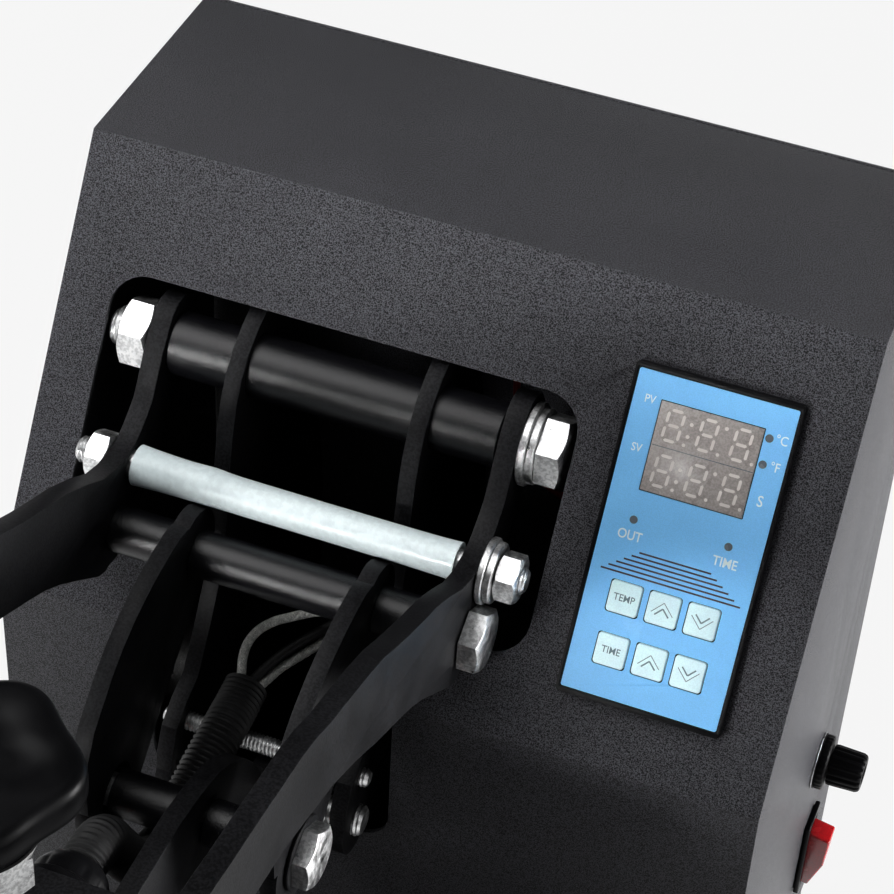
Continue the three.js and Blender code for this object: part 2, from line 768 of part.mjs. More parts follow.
// Stop rod
{
  const seat = armOuterX + seatGap
  const stack = seat + stopWasherThickness * 2 + seatGap
  const nutEnd = stack + stopNutHeight
  const leftEnd = seat + stopNutHeight
  const bore = stopRodRadius + seatGap
  const rod = rodX(stopPivot, stopRodRadius, -leftEnd - stopThreadProud,
    nutEnd + stopThreadShort, smallSides)
  piece('stop_rod', rod, zincLook)
  const washers = tubeX(stopPivot, stopWasherRadius, bore, seat, stack - seatGap)
  piece('stop_washers', washers, zincLook)
  const nuts = { right: [stack, nutEnd], left: [-leftEnd, -seat] }
  for (const [side, [from, to]] of Object.entries(nuts)) {
    const nut = cut(hexX(stopPivot, stopNutFlats, from, to),
      [rodX(stopPivot, bore, from - overrun, to + overrun, smallSides)])
    piece(`stop_nut_${side}`, nut, zincLook)
  }
  const half = armInnerX - stopSleeveShort
  piece('stop_sleeve', tubeX(stopPivot, stopSleeveRadius, bore, -half, half), sleeveLook)
}

// Links, with clear room about the shoe bolt because the pivot there is the one left open
{
  const along = new THREE.Vector2(shoePivot[0] - linkPivot[0], shoePivot[1] - linkPivot[1])
  const span = along.length()
  along.normalize()
  const leanIn = Math.asin((linkFootRadius - linkTopRadius) / span)
  const flank = along.clone().rotateAround(new THREE.Vector2(), Math.PI / 2 + leanIn)
  const outline = [
    linkPivot,
    ...linkFrontShares.map(onToggle),
    shoePivot,
    [shoePivot[0] + flank.x * linkFootRadius, shoePivot[1] + flank.y * linkFootRadius],
    [linkPivot[0] + flank.x * linkTopRadius, linkPivot[1] + flank.y * linkTopRadius]
  ]
  for (const [side, from] of [['left', -linkOuterX], ['right', frameInnerX]]) {
    const to = from + linkPlate
    const body = join([
      plate(outline, from, to),
      rodX(linkPivot, linkTopRadius, from, to),
      rodX(shoePivot, linkFootRadius, from, to)
    ])
    const tools = [
      rodX(linkPivot, linkBoltRadius + runGap, from - overrun, to + overrun, smallSides),
      rodX(shoePivot, linkBoltRadius + linkTravel + runGap, from - overrun, to + overrun)
    ]
    piece(`link_${side}`, cut(body, tools), blackPaint)
  }
}

function throughBolt(place, seat) {
  const tail = seat + linkNutHeight + linkThreadProud
  return join([
    rodX(place, linkBoltRadius, -tail, seat + linkHeadHeight / 2, smallSides),
    hexX(place, linkHeadFlats, seat, seat + linkHeadHeight),
    hexX(place, linkHeadFlats, -seat - linkNutHeight, -seat)
  ])
}

// Link bolt with its three spacer tubes, and the shoe bolt with its two
{
  const bore = linkBoltRadius + seatGap
  piece('link_bolt', throughBolt(linkPivot, armOuterX + seatGap), zincLook)
  const outerSpan = [linkOuterX + runGap, armInnerX - seatGap]
  const innerEnd = frameInnerX - runGap
  const tube = (place, from, to) => tubeX(place, linkTubeRadius, bore, from, to)
  piece('link_spacer_right', tube(linkPivot, outerSpan[0], outerSpan[1]), darkSteel)
  piece('link_spacer_left', tube(linkPivot, -outerSpan[1], -outerSpan[0]), darkSteel)
  piece('link_spacer_middle', tube(linkPivot, -innerEnd, innerEnd), darkSteel)
  const flangeSeat = linkOuterX + seatGap
  const flangeOut = flangeSeat + shoeFlangeThickness
  const flangedBolt = join([
    throughBolt(shoePivot, flangeSeat),
    rodX(shoePivot, shoeFlangeRadius, flangeSeat, flangeOut),
    rodX(shoePivot, shoeFlangeRadius, -flangeOut, -flangeSeat)
  ])
  piece('shoe_bolt', flangedBolt, zincLook)
  const near = platenArmPlate / 2 + seatGap
  piece('shoe_spacer_right', tube(shoePivot, near, innerEnd), darkSteel)
  piece('shoe_spacer_left', tube(shoePivot, -innerEnd, -near), darkSteel)
}

// Platen arm
{
  const half = platenArmPlate / 2
  const tipY = seatGap - hoodRear
  const outline = [
    ...platenArmTopShares.map(onToggle),
    [tipY, -platenArmRoot],
    [tipY, -platenArmTip],
    ...platenArmUnderShares.map(onToggle)
  ]
  const body = join([
    plate(outline, -half, half),
    rodX(armPivot, armPivotBossShare * toggleSpan, -half, half)
  ])
  const tools = [armPivot, shoePivot].map((place) => (
    rodX(place, linkBoltRadius + runGap, -half - overrun, half + overrun, smallSides)
  ))
  piece('platen_arm', cut(body, tools), blackPaint)
}

// Hood with its threaded collar
{
  const y = [-hoodRear - hoodDepth, -hoodRear]
  const outer = box([-hoodHalfWidth, hoodHalfWidth], y, [-hoodBottom, hoodTop])
  const innerX = hoodHalfWidth - hoodSheet
  const inner = box([-innerX, innerX], [y[0] + hoodSheet, y[1] - hoodSheet],
    [-hoodBottom - overrun, hoodTop - hoodSheet])
  const collar = turned([
    [0, hoodTop - hoodSheet], [collarRadius, hoodTop - hoodSheet],
    [collarRadius, hoodTop + collarHeight], [0, hoodTop + collarHeight]
  ], axisZ, [0, spindleY, 0])
  const bore = spindleRadius + runGap
  const through = turned([
    [0, -hoodBottom], [bore, -hoodBottom],
    [bore, hoodTop + collarHeight + overrun], [0, hoodTop + collarHeight + overrun]
  ], axisZ, [0, spindleY, 0])
  const stem = conduitBore + seatGap + seatGap
  const glandHole = turned([[0, -overrun], [stem, -overrun], [stem, overrun], [0, overrun]],
    axisY, [glandX, -hoodRear, 0], smallSides)
  piece('hood', cut(join([cut(outer, [inner]), collar]), [through, glandHole]), blackPaint)
}

// Hot shoe, board, pad and form share one arch
const archRadius = (shoeHalfWidth * shoeHalfWidth + shoeSag * shoeSag) / (2 * shoeSag)
const archCentre = -shoeArchTop - archRadius
function archLine(radius, half) {
  const points = []
  const reach = Math.asin(half / radius)
  for (let i = 0; i <= archSteps; i++) {
    const angle = reach * (2 * i / archSteps - 1)
    points.push([radius * Math.sin(angle), archCentre + radius * Math.cos(angle)])
  }
  return points
}
{
  const span = (depth) => [-spindleY - depth / 2, -spindleY + depth / 2]
  const shoeSpan = span(shoeDepth)
  const shoeLine = archLine(archRadius, shoeHalfWidth)
  const shoe = [...shoeLine, [shoeHalfWidth, -shoeTop], [-shoeHalfWidth, -shoeTop]]
  piece('hot_shoe', drawn(shoe, frontView, shoeSpan[0], shoeSpan[1]), aluminiumLook)

  const low = seatGap - shoeTop
  const boardX = shoeHalfWidth - boardInset
  const boardY = shoeDepth / 2 - boardInset
  piece('shoe_board', box([-boardX, boardX], [spindleY - boardY, spindleY + boardY],
    [low, low + boardThickness]), boardLook)

  const padTop = archLine(archRadius - capRoom, padHalfWidth)
  const padLow = archLine(archRadius - capRoom - padThickness, padHalfWidth).reverse()
  const formSpan = span(formDepth)
  const pad = drawn([...padTop, ...padLow], frontView, formSpan[0], formSpan[1])
  piece('form_pad', pad, siliconeLook)
  const formTop = archLine(archRadius - capRoom - padThickness - seatGap, formHalfWidth)
  const form = [...formTop, [formHalfWidth, -formBottom], [-formHalfWidth, -formBottom]]
  piece('cap_form', drawn(form, frontView, formSpan[0], formSpan[1]), aluminiumLook)
  piece('form_post', box([-postHalfWidth, postHalfWidth],
    [spindleY - postDepth / 2, spindleY + postDepth / 2],
    [deckTop + seatGap, -formBottom - seatGap]), blackPaint)
}

// Spindle with its lock nut, and the star knob on top
{
  const place = [0, spindleY, 0]
  const low = -shoeTop + seatGap + boardThickness + seatGap
  const nutLow = hoodTop + collarHeight + seatGap
  const rod = turned([
    [0, low], [spindleRadius, low], [spindleRadius, hubLow - seatGap], [0, hubLow - seatGap]
  ], axisZ, place)
  const nut = hexAlong(axisZ, place, spindleNutFlats, nutLow, nutLow + spindleNutHeight)
  const topNutHigh = hubLow - knobWasherThickness - seatGap
  const topNut = hexAlong(axisZ, place, spindleNutFlats, topNutHigh - spindleNutHeight, topNutHigh)
  const washer = turned([
    [0, topNutHigh - seatGap], [knobWasherRadius, topNutHigh - seatGap],
    [knobWasherRadius, hubLow - seatGap], [0, hubLow - seatGap]
  ], axisZ, place)
  piece('spindle', join([rod, nut, topNut, washer]), zincLook)

  const outline = []
  const turn = THREE.MathUtils.degToRad(knobTurnDeg)
  for (let i = 0; i < knobSteps; i++) {
    const angle = i / knobSteps * Math.PI * 2
    const wave = Math.cos((angle - turn) * knobLobes)
    const radius = knobRadius - knobLobeDepth * (1 - wave) / 2
    const reach = radius - knobBevel
    outline.push(new THREE.Vector2(reach * Math.cos(angle), reach * Math.sin(angle)))
  }
  const star = new THREE.ExtrudeGeometry(new THREE.Shape(outline), {
    depth: knobHigh - knobLow - knobBevel * 2,
    bevelEnabled: true,
    bevelThickness: knobBevel,
    bevelSize: knobBevel,
    bevelSegments: 1
  })
  star.translate(0, spindleY, knobLow + knobBevel)
  const hub = turned([
    [0, hubLow], [hubRadius, hubLow], [hubWaistRadius, hubWaist],
    [hubRadius, knobLow + knobBevel], [0, knobLow + knobBevel]
  ], axisZ, place)
  piece('star_knob', join([solidOf(star), hub]), blackPlastic)
}

// Gland on the hood's rear wall
{
  const profile = [
    [conduitBore, -glandStemLength], [conduitBore + seatGap, -glandStemLength],
    [conduitBore + seatGap, seatGap], [glandFlangeRadius, seatGap],
    [glandFlangeRadius, glandFlangeThickness], [glandDomeRadius, glandFlangeThickness],
    [glandDomeRadius, glandLength / 2], [glandMouthRadius, glandLength],
    [conduitBore, glandLength], [conduitBore, -glandStemLength]
  ]
  piece('gland', turned(profile, axisY, [glandX, -hoodRear, 0]), blackPlastic)
}

// Ribbed conduit: two rings of points a rib, a bore ring every few ribs, straight plain ends
{
  const route = conduitRoute.map((p) => new THREE.Vector3(...p))
  const curve = new THREE.CatmullRomCurve3(route)
  const length = curve.getLength()
  const endShare = conduitRadius * 2 / length
  const stations = [[0, conduitRadius]]
  for (let i = 0; i < conduitRibs; i++) {
    const start = endShare + (1 - endShare * 2) * i / conduitRibs
    const pitch = (1 - endShare * 2) / conduitRibs
    stations.push([start, conduitRadius], [start + pitch / 2, conduitRoot])
  }
  stations.push([1 - endShare, conduitRadius], [1, conduitRadius])
  const spots = []
  const ring = (share, radius) => {
    const at = curve.getPointAt(share)
    const ahead = curve.getTangentAt(share)
    const up = new THREE.Vector3().crossVectors(ahead, axisX).normalize()
    const side = new THREE.Vector3().crossVectors(up, ahead).normalize()
    const first = spots.length / 3
    for (let i = 0; i < conduitPoints; i++) {
      const angle = i / conduitPoints * Math.PI * 2
      const spot = at.clone()
      spot.addScaledVector(side, radius * Math.cos(angle))
      spot.addScaledVector(up, radius * Math.sin(angle))
      spots.push(spot.x, spot.y, spot.z)
    }
    return first
  }
  const outside = stations.map(([share, radius]) => ring(share, radius))
  const boreShares = stations.filter((_, i) => (
    i === 0 || i === stations.length - 1 || i % (conduitBoreSkip * 2) === 1
  ))
  const inside = boreShares.map(([share]) => ring(share, conduitBore))
  const faces = []
  const band = (from, to) => {
    for (let i = 0; i < conduitPoints; i++) {
      const j = (i + 1) % conduitPoints
      faces.push(from + i, from + j, to + j, from + i, to + j, to + i)
    }
  }
  outside.slice(1).forEach((ringStart, i) => band(outside[i], ringStart))
  inside.slice(1).forEach((ringStart, i) => band(ringStart, inside[i]))
  band(inside[0], outside[0])
  band(outside[outside.length - 1], inside[inside.length - 1])
  const geometry = new THREE.BufferGeometry()
  geometry.setAttribute('position', new THREE.Float32BufferAttribute(spots, 3))
  geometry.setIndex(faces)
  piece('conduit', solidOf(geometry), rubberLook)
}

// Braided leads
{
  const outline = []
  for (let i = 0; i < leadSides; i++) {
    const angle = i / leadSides * Math.PI * 2
    outline.push(new THREE.Vector2(leadRadius * Math.cos(angle), leadRadius * Math.sin(angle)))
  }
  const section = new THREE.Shape(outline)
  for (const [name, route] of [['lead_near', leadNearRoute], ['lead_far', leadFarRoute]]) {
    const curve = new THREE.CatmullRomCurve3(route.map((p) => new THREE.Vector3(...p)))
    const settings = { steps: leadSteps, extrudePath: curve, bevelEnabled: false }
    piece(name, solidOf(new THREE.ExtrudeGeometry(section, settings)), braidLook)
  }
}

// The origin sits under the middle of the press, on the plane that the feet stand on
const rightmost = housingRight + fuseFlangeThickness + seatGap + fuseCapHeight
const foremost = barPlace[0] - gripRadius
const rearmost = housingBack + inletFlange
press.position.set(
  -(housingLeft + rightmost) / 2,
  -(foremost + rearmost) / 2,
  bendHeight
)

export default press
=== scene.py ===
import json
import math
import bmesh
import bpy
from mathutils import Matrix, Vector


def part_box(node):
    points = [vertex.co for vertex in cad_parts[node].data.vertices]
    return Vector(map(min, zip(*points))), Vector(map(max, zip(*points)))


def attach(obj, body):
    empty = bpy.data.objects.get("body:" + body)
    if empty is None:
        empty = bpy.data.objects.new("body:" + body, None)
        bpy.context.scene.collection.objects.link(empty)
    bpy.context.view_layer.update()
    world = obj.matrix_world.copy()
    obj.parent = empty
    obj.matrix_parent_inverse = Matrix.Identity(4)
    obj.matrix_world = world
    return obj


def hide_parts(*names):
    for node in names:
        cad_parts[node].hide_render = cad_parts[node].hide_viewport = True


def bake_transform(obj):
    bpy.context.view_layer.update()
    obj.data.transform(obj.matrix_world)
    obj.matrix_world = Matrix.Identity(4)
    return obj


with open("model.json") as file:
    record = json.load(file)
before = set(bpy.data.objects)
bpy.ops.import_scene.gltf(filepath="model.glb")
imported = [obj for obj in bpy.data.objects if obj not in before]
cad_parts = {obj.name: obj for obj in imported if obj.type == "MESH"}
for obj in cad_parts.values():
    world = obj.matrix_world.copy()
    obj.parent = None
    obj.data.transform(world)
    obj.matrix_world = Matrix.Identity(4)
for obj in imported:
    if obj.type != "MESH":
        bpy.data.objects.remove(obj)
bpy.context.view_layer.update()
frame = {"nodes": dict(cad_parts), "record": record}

scene = bpy.context.scene
MM = 0.001
NODES = frame["nodes"]
BODY_OF = {}
for body, members in frame["record"]["behaviour"]["bodies"].items():
    for member in members:
        BODY_OF[member] = body

# Press frame: X from the middle of the toggle, Y back, Z up, Y = Z = 0 on the housing's bend
PRESS = Vector((-0.03765, 0.08080053, 0.2))
LEAN_SIN, LEAN_COS = 0.529919, 0.848048
RIGHT = 147.5
LEFT = -87.5
BACK = 150.4
PANEL_TOP_Z = 116.18
DECK_TOP = -182.0
GROUND = -200
FACE_MIDDLE_X = 107.4
FACE_MIDDLE_UP = 67.1


def at(x, y, z):
    """A point of the press frame, given in mm."""
    return PRESS + Vector((x, y, z)) * MM


def on_face(u, v, n):
    """A point over the controller's middle: right, up the panel and out of it, in mm."""
    up = FACE_MIDDLE_UP + v
    return at(
        FACE_MIDDLE_X + u, up * LEAN_SIN - n * LEAN_COS, up * LEAN_COS + n * LEAN_SIN)


def linked(name, data):
    """A new object in the scene."""
    piece = bpy.data.objects.new(name, data)
    scene.collection.objects.link(piece)
    return piece


# Camera
camera = linked("camera", bpy.data.cameras.new("camera"))
camera.data.lens = 110.57
camera.data.sensor_width = 36
camera.data.clip_start = 0.01
turn = Matrix((
    (0.93214, -0.27162, 0.23946),
    (0.35926, 0.61107, -0.70535),
    (0.04526, 0.74351, 0.66719),
)).to_4x4()
camera.matrix_world = Matrix.Translation((0.18317, -0.42243, 0.77882)) @ turn
scene.camera = camera


# Materials
def ink(nodes, kind, **values):
    """A new shader node with its settings."""
    node = nodes.new(kind)
    for key, value in values.items():
        setattr(node, key, value)
    return node


def calculated(nodes, links, operation, *sources):
    """The result of a math node, fed by outputs of other nodes or by plain numbers."""
    node = ink(nodes, "ShaderNodeMath", operation=operation)
    for socket, source in zip(node.inputs, sources):
        if isinstance(source, float):
            socket.default_value = source
        else:
            links.new(source, socket)
    return node.outputs["Value"]


def mixed(nodes, links, factor, one, other):
    """Two shaders, mixed by a factor."""
    mix = ink(nodes, "ShaderNodeMixShader")
    for name, source in (("Fac", factor), (1, one), (2, other)):
        links.new(source, mix.inputs[name])
    return mix.outputs["Shader"]


# How far wear reaches in from an edge, in mm
WEAR_REACH = 0.7


def finish(name, colour, rough, metal=0.0, spread=0.25, blotch=60.0, grain=1200.0,
           depth=0.05, rough_spread=0.12, speck=0.0, wear=0.0, worn=(0.3, 0.3, 0.3),
           coat=0.0, specular=0.5, stretch=(1.0, 1.0, 1.0), sheen=0.0, subsurface=0.0):
    """A procedural finish: slow and fine colour variation, uneven roughness, bump and edge wear."""
    material = bpy.data.materials.new(name)
    material.use_nodes = True
    nodes = material.node_tree.nodes
    links = material.node_tree.links
    shader = nodes["Principled BSDF"]
    shader.inputs["Metallic"].default_value = metal
    shader.inputs["Specular IOR Level"].default_value = specular
    if coat:
        shader.inputs["Coat Weight"].default_value = coat
        shader.inputs["Coat Roughness"].default_value = 0.12
    if sheen:
        shader.inputs["Sheen Weight"].default_value = sheen
    if subsurface:
        shader.inputs["Subsurface Weight"].default_value = subsurface
        shader.inputs["Subsurface Radius"].default_value = (0.004, 0.004, 0.004)
        shader.inputs["Subsurface Scale"].default_value = 0.5
    place = ink(nodes, "ShaderNodeTexCoord")
    mapping = ink(nodes, "ShaderNodeMapping")
    mapping.inputs["Scale"].default_value = stretch
    links.new(place.outputs["Object"], mapping.inputs["Vector"])

    def noise(scale, detail, roughness=0.55):
        node = ink(nodes, "ShaderNodeTexNoise")
        node.inputs["Scale"].default_value = scale
        node.inputs["Detail"].default_value = detail
        node.inputs["Roughness"].default_value = roughness
        links.new(mapping.outputs["Vector"], node.inputs["Vector"])
        return node.outputs["Fac"]

    def ramp(source, low, high, from_low=0.3, from_high=0.7):
        node = ink(nodes, "ShaderNodeMapRange")
        node.inputs["From Min"].default_value = from_low
        node.inputs["From Max"].default_value = from_high
        node.inputs["To Min"].default_value = low
        node.inputs["To Max"].default_value = high
        links.new(source, node.inputs["Value"])
        return node.outputs["Result"]

    slow = noise(blotch, 4)
    fine = noise(grain, 3)
    tint = ink(nodes, "ShaderNodeMix", data_type="RGBA")
    dark = [c * (1 - spread) for c in colour]
    light = [min(c * (1 + spread), 1.0) for c in colour]
    tint.inputs["A"].default_value = (*dark, 1)
    tint.inputs["B"].default_value = (*light, 1)
    links.new(ramp(slow, 0, 1), tint.inputs["Factor"])
    last = tint.outputs["Result"]
    if speck:
        flecks = ink(nodes, "ShaderNodeMix", data_type="RGBA", blend_type="MULTIPLY")
        flecks.inputs["Factor"].default_value = 1.0
        links.new(last, flecks.inputs["A"])
        grey = ink(nodes, "ShaderNodeCombineColor")
        level = ramp(fine, 1 - speck, 1 + speck, 0.43, 0.57)
        for channel in ("Red", "Green", "Blue"):
            links.new(level, grey.inputs[channel])
        links.new(grey.outputs["Color"], flecks.inputs["B"])
        last = flecks.outputs["Result"]
    roughness = ramp(slow, max(rough - rough_spread, 0.04), min(rough + rough_spread, 1.0))
    if wear:
        bevel = ink(nodes, "ShaderNodeBevel", samples=4)
        bevel.inputs["Radius"].default_value = WEAR_REACH * MM
        geometry = ink(nodes, "ShaderNodeNewGeometry")
        cosine = ink(nodes, "ShaderNodeVectorMath", operation="DOT_PRODUCT")
        links.new(bevel.outputs["Normal"], cosine.inputs[0])
        links.new(geometry.outputs["Normal"], cosine.inputs[1])
        edge = ramp(cosine.outputs["Value"], 1, 0, 0.86, 0.995)
        patches = ramp(noise(380, 5, 0.7), 0, wear, 0.42, 0.66)
        rub = ink(nodes, "ShaderNodeMix", data_type="RGBA")
        rub.inputs["B"].default_value = (*worn, 1)
        links.new(last, rub.inputs["A"])
        links.new(calculated(nodes, links, "MULTIPLY", edge, patches), rub.inputs["Factor"])
        last = rub.outputs["Result"]
    links.new(last, shader.inputs["Base Color"])
    links.new(roughness, shader.inputs["Roughness"])
    bump = ink(nodes, "ShaderNodeBump")
    bump.inputs["Strength"].default_value = 1.0
    bump.inputs["Distance"].default_value = depth * MM
    links.new(fine, bump.inputs["Height"])
    links.new(bump.outputs["Normal"], shader.inputs["Normal"])
    return material


FINISH = {
    "black_paint": finish(
        "black_paint", (0.0075, 0.0075, 0.0085), 0.5, spread=0.3, grain=1300, depth=0.04,
        speck=0.5, wear=0.55, worn=(0.045, 0.045, 0.05), specular=0.12, rough_spread=0.06),
    # The housing's strong colour flecks are partly the coat's own grain and partly painted
    # highlight, standing in for the glints on its textured surface.
    "housing_paint": finish(
        "housing_paint", (0.045, 0.045, 0.051), 0.37, spread=0.1, blotch=25, grain=2900,
        depth=0.34, speck=0.9, sheen=0.1, wear=0.35, worn=(0.14, 0.14, 0.15), rough_spread=0.03,
        specular=0.1),
    "dark_steel": finish(
        "dark_steel", (0.004, 0.004, 0.005), 0.24, spread=0.2, grain=2400, depth=0.12,
        speck=0.3, wear=0.3, worn=(0.08, 0.08, 0.08), rough_spread=0.03, specular=0.4),
    "zinc": finish(
        "zinc", (0.8, 0.805, 0.81), 0.4, metal=1.0, spread=0.24, blotch=260, grain=900,
        depth=0.06, rough_spread=0.14, speck=0.18, wear=0.5, worn=(0.85, 0.85, 0.86)),
    "black_plastic": finish(
        "black_plastic", (0.003, 0.003, 0.0035), 0.38, spread=0.25, grain=2600, depth=0.02,
        speck=0.2, wear=0.25, worn=(0.03, 0.03, 0.03), specular=0.08),
    "black_rubber": finish(
        "black_rubber", (0.008, 0.008, 0.0085), 0.62, spread=0.3, grain=1800, depth=0.05,
        speck=0.3, wear=0.3, worn=(0.03, 0.03, 0.03), specular=0.4),
    "pale_sleeve": finish(
        "pale_sleeve", (0.8, 0.92, 0.94), 0.33, spread=0.03, blotch=90, grain=500, depth=0.05,
        speck=0.04, specular=0.5, subsurface=0.25),
    "blue_face": finish(
        "blue_face", (0.2, 0.55, 0.98), 0.42, spread=0.05, blotch=40, grain=3200, depth=0.006,
        speck=0.05, specular=0.2),
    "display_glass": finish(
        "display_glass", (0.33, 0.3, 0.285), 0.3, spread=0.07, blotch=150, grain=1600,
        depth=0.012, speck=0.12),
    "key_plastic": finish(
        "key_plastic", (0.68, 0.92, 1.0), 0.42, spread=0.05, blotch=120, grain=2400, depth=0.008,
        speck=0.04, wear=0.25, worn=(0.7, 0.85, 0.92)),
    "red_plastic": finish(
        "red_plastic", (0.52, 0.006, 0.01), 0.22, spread=0.14, blotch=160, grain=1500, depth=0.01,
        speck=0.08, coat=0.4, wear=0.2, worn=(0.75, 0.08, 0.08)),
    "braid": finish(
        "braid", (0.62, 0.62, 0.59), 0.45, metal=0.2, spread=0.3, blotch=500, grain=5200,
        depth=0.06, speck=0.45),
    "aluminium": finish(
        "aluminium", (0.55, 0.56, 0.57), 0.38, metal=1.0, spread=0.12, blotch=70, grain=900,
        depth=0.02, speck=0.1, wear=0.4, worn=(0.8, 0.8, 0.8), stretch=(6, 0.6, 6)),
    "board": finish(
        "board", (0.66, 0.62, 0.54), 0.85, spread=0.12, blotch=120, grain=1400, depth=0.06,
        speck=0.14),
    "silicone": finish(
        "silicone", (0.42, 0.055, 0.025), 0.62, spread=0.14, blotch=60, grain=1300, depth=0.05,
        speck=0.16, wear=0.3, worn=(0.5, 0.12, 0.08)),
}
WHITE_PRINT = finish("white_print", (0.78, 0.9, 0.95), 0.45, spread=0.05, grain=2500, depth=0.004)
KEY_PRINT = finish("key_print", (0.1, 0.19, 0.23), 0.5, spread=0.1, grain=2500, depth=0.004)
DARK_PRINT = finish("dark_print", (0.035, 0.008, 0.03), 0.5, spread=0.12, grain=2500, depth=0.004)
# Dark marks: the lamp dots and the display seam, and, as painted shade, the screws' crosses.
DARK_MARK_AND_SHADE = finish("lamp_dot", (0.1, 0.12, 0.14), 0.3, spread=0.1, grain=2500, depth=0.004)
SEGMENT = finish("segment", (0.62, 0.58, 0.55), 0.4, spread=0.08, grain=2500, depth=0.006)
RED_WIRE = finish("red_wire", (0.35, 0.01, 0.012), 0.5, spread=0.2, grain=2500, depth=0.02)


# Mesh tools
class Maker:
    """Gathers lofted rings and flat shapes into one mesh."""

    def __init__(self):
        self.spots = []
        self.faces = []

    def loft(self, loops, ring=False, caps=True):
        """Walls from loop to loop, closed by a cap on each end or, as a ring, back to the first."""
        first = len(self.spots)
        count = len(loops[0])
        for loop in loops:
            self.spots.extend(loop)
        rows = len(loops) if ring else len(loops) - 1
        for i in range(rows):
            a = first + i * count
            b = first + (i + 1) % len(loops) * count
            for j in range(count):
                k = (j + 1) % count
                self.faces.append((a + j, a + k, b + k, b + j))
        if caps and not ring:
            self.faces.append(tuple(first + j for j in reversed(range(count))))
            last = first + (len(loops) - 1) * count
            self.faces.append(tuple(last + j for j in range(count)))

    def build(self, name, material, angle=38):
        """The shape as an object of the scene."""
        mesh = bpy.data.meshes.new(name)
        mesh.from_pydata([tuple(spot) for spot in self.spots], [], self.faces)
        shape = bmesh.new()
        shape.from_mesh(mesh)
        bmesh.ops.recalc_face_normals(shape, faces=shape.faces)
        shape.to_mesh(mesh)
        shape.free()
        shaded(mesh, material, angle)
        return linked(name, mesh)


def shaded(mesh, material, angle):
    """One material, and smooth faces but for edges that bend by more than the angle in degrees."""
    for polygon in mesh.polygons:
        polygon.use_smooth = True
    mesh.set_sharp_from_angle(angle=math.radians(angle))
    mesh.materials.clear()
    mesh.materials.append(material)


def evaluated(piece):
    """A new mesh with the piece's modifiers or text settings worked in."""
    graph = bpy.context.evaluated_depsgraph_get()
    return bpy.data.meshes.new_from_object(piece.evaluated_get(graph))


def stands_for(piece, slot, *nodes):
    """Has the piece ride with the nodes that it replaces."""
    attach(piece, BODY_OF[nodes[0]])
    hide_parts(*nodes)
    return piece


def detail(maker, node, slot, angle=38):
    """The maker's shape in place of the node."""
    return stands_for(maker.build(node + "_detail", FINISH[slot], angle), slot, node)


def extra(piece, slot, body):
    """Has a piece that replaces no node ride with a body."""
    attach(piece, body)
    return piece


SAME_SPOT = 2e-6
FLAT_ANGLE = 0.5
ROUNDED_ANGLE = 30
SMOOTH_ANGLE = 32


def softened(node, slot, width, steps):
    """The node's own shape with its edges rounded, for sheets, plates and castings."""
    mesh = NODES[node].data.copy()
    shape = bmesh.new()
    shape.from_mesh(mesh)
    bmesh.ops.remove_doubles(shape, verts=shape.verts, dist=SAME_SPOT)
    bmesh.ops.dissolve_limit(
        shape, angle_limit=math.radians(FLAT_ANGLE), verts=shape.verts, edges=shape.edges)
    shape.to_mesh(mesh)
    shape.free()
    mesh.name = node + "_skin"
    piece = linked(node + "_skin", mesh)
    bevel = piece.modifiers.new("edges", "BEVEL")
    bevel.width = width * MM
    bevel.segments = steps
    bevel.limit_method = "ANGLE"
    bevel.angle_limit = math.radians(ROUNDED_ANGLE)
    bevel.use_clamp_overlap = True
    skin = evaluated(piece)
    piece.modifiers.clear()
    piece.data = skin
    bpy.data.meshes.remove(mesh)
    shaded(skin, FINISH[slot], SMOOTH_ANGLE)
    return stands_for(piece, slot, node)


def ring_of(spot, along, radius, count):
    """Points at even angles. The place along the axis and the radius may depend on the angle."""
    points = []
    for i in range(count):
        angle = 2 * math.pi * i / count
        reach = along(angle) if callable(along) else along
        size = radius(angle) if callable(radius) else radius
        points.append(spot(reach, size * math.cos(angle), size * math.sin(angle)))
    return points


def circle_x(place, x, radius, count=48):
    """A ring about a line along X, by angles from Z to Y."""
    return ring_of(lambda along, c, s: at(along, place[0] + s, place[1] + c), x, radius, count)


def circle_y(place, y, radius, count=48):
    """A ring about a line along Y, by angles from X to Z."""
    return ring_of(lambda along, c, s: at(place[0] + c, along, place[1] + s), y, radius, count)


def circle_z(place, z, radius, count=48):
    """A ring about a line along Z, by angles from X to Y."""
    return ring_of(lambda along, c, s: at(place[0] + c, place[1] + s, along), z, radius, count)


HEX_COUNT = 72
HEX_FACE_SHARE = 0.475
CHAMFER_SLOPE = math.sqrt(3)
BORE_CHAMFER = 0.6


def hex_radius(flats):
    """The radius of a hexagon at an angle, from its width across flats."""
    return lambda angle: flats / 2 / math.cos(angle % (math.pi / 3) - math.pi / 6)


def hex_body(maker, place, flats, low, high, bore=None, circle=circle_x, both=True):
    """A nut or head with the curved chamfer that a cone leaves on its flats."""
    edge = hex_radius(flats)
    face = flats * HEX_FACE_SHARE

    def corner(end, inward):
        """Where the cone meets the hexagon's wall."""
        return lambda angle: end + inward * (max(edge(angle) - face, 0) / CHAMFER_SLOPE)

    rings = [(low, bore + BORE_CHAMFER)] if bore else []
    rings += [(low, face), (corner(low, 1), edge)] if both else [(low, edge)]
    rings += [(corner(high, -1), edge), (high, face)]
    if bore:
        rings += [(high, bore + BORE_CHAMFER), (high - BORE_CHAMFER, bore),
                  (low + BORE_CHAMFER, bore)]
    maker.loft([circle(place, along, size, HEX_COUNT) for along, size in rings], ring=bool(bore))


THREAD_STEPS = 6


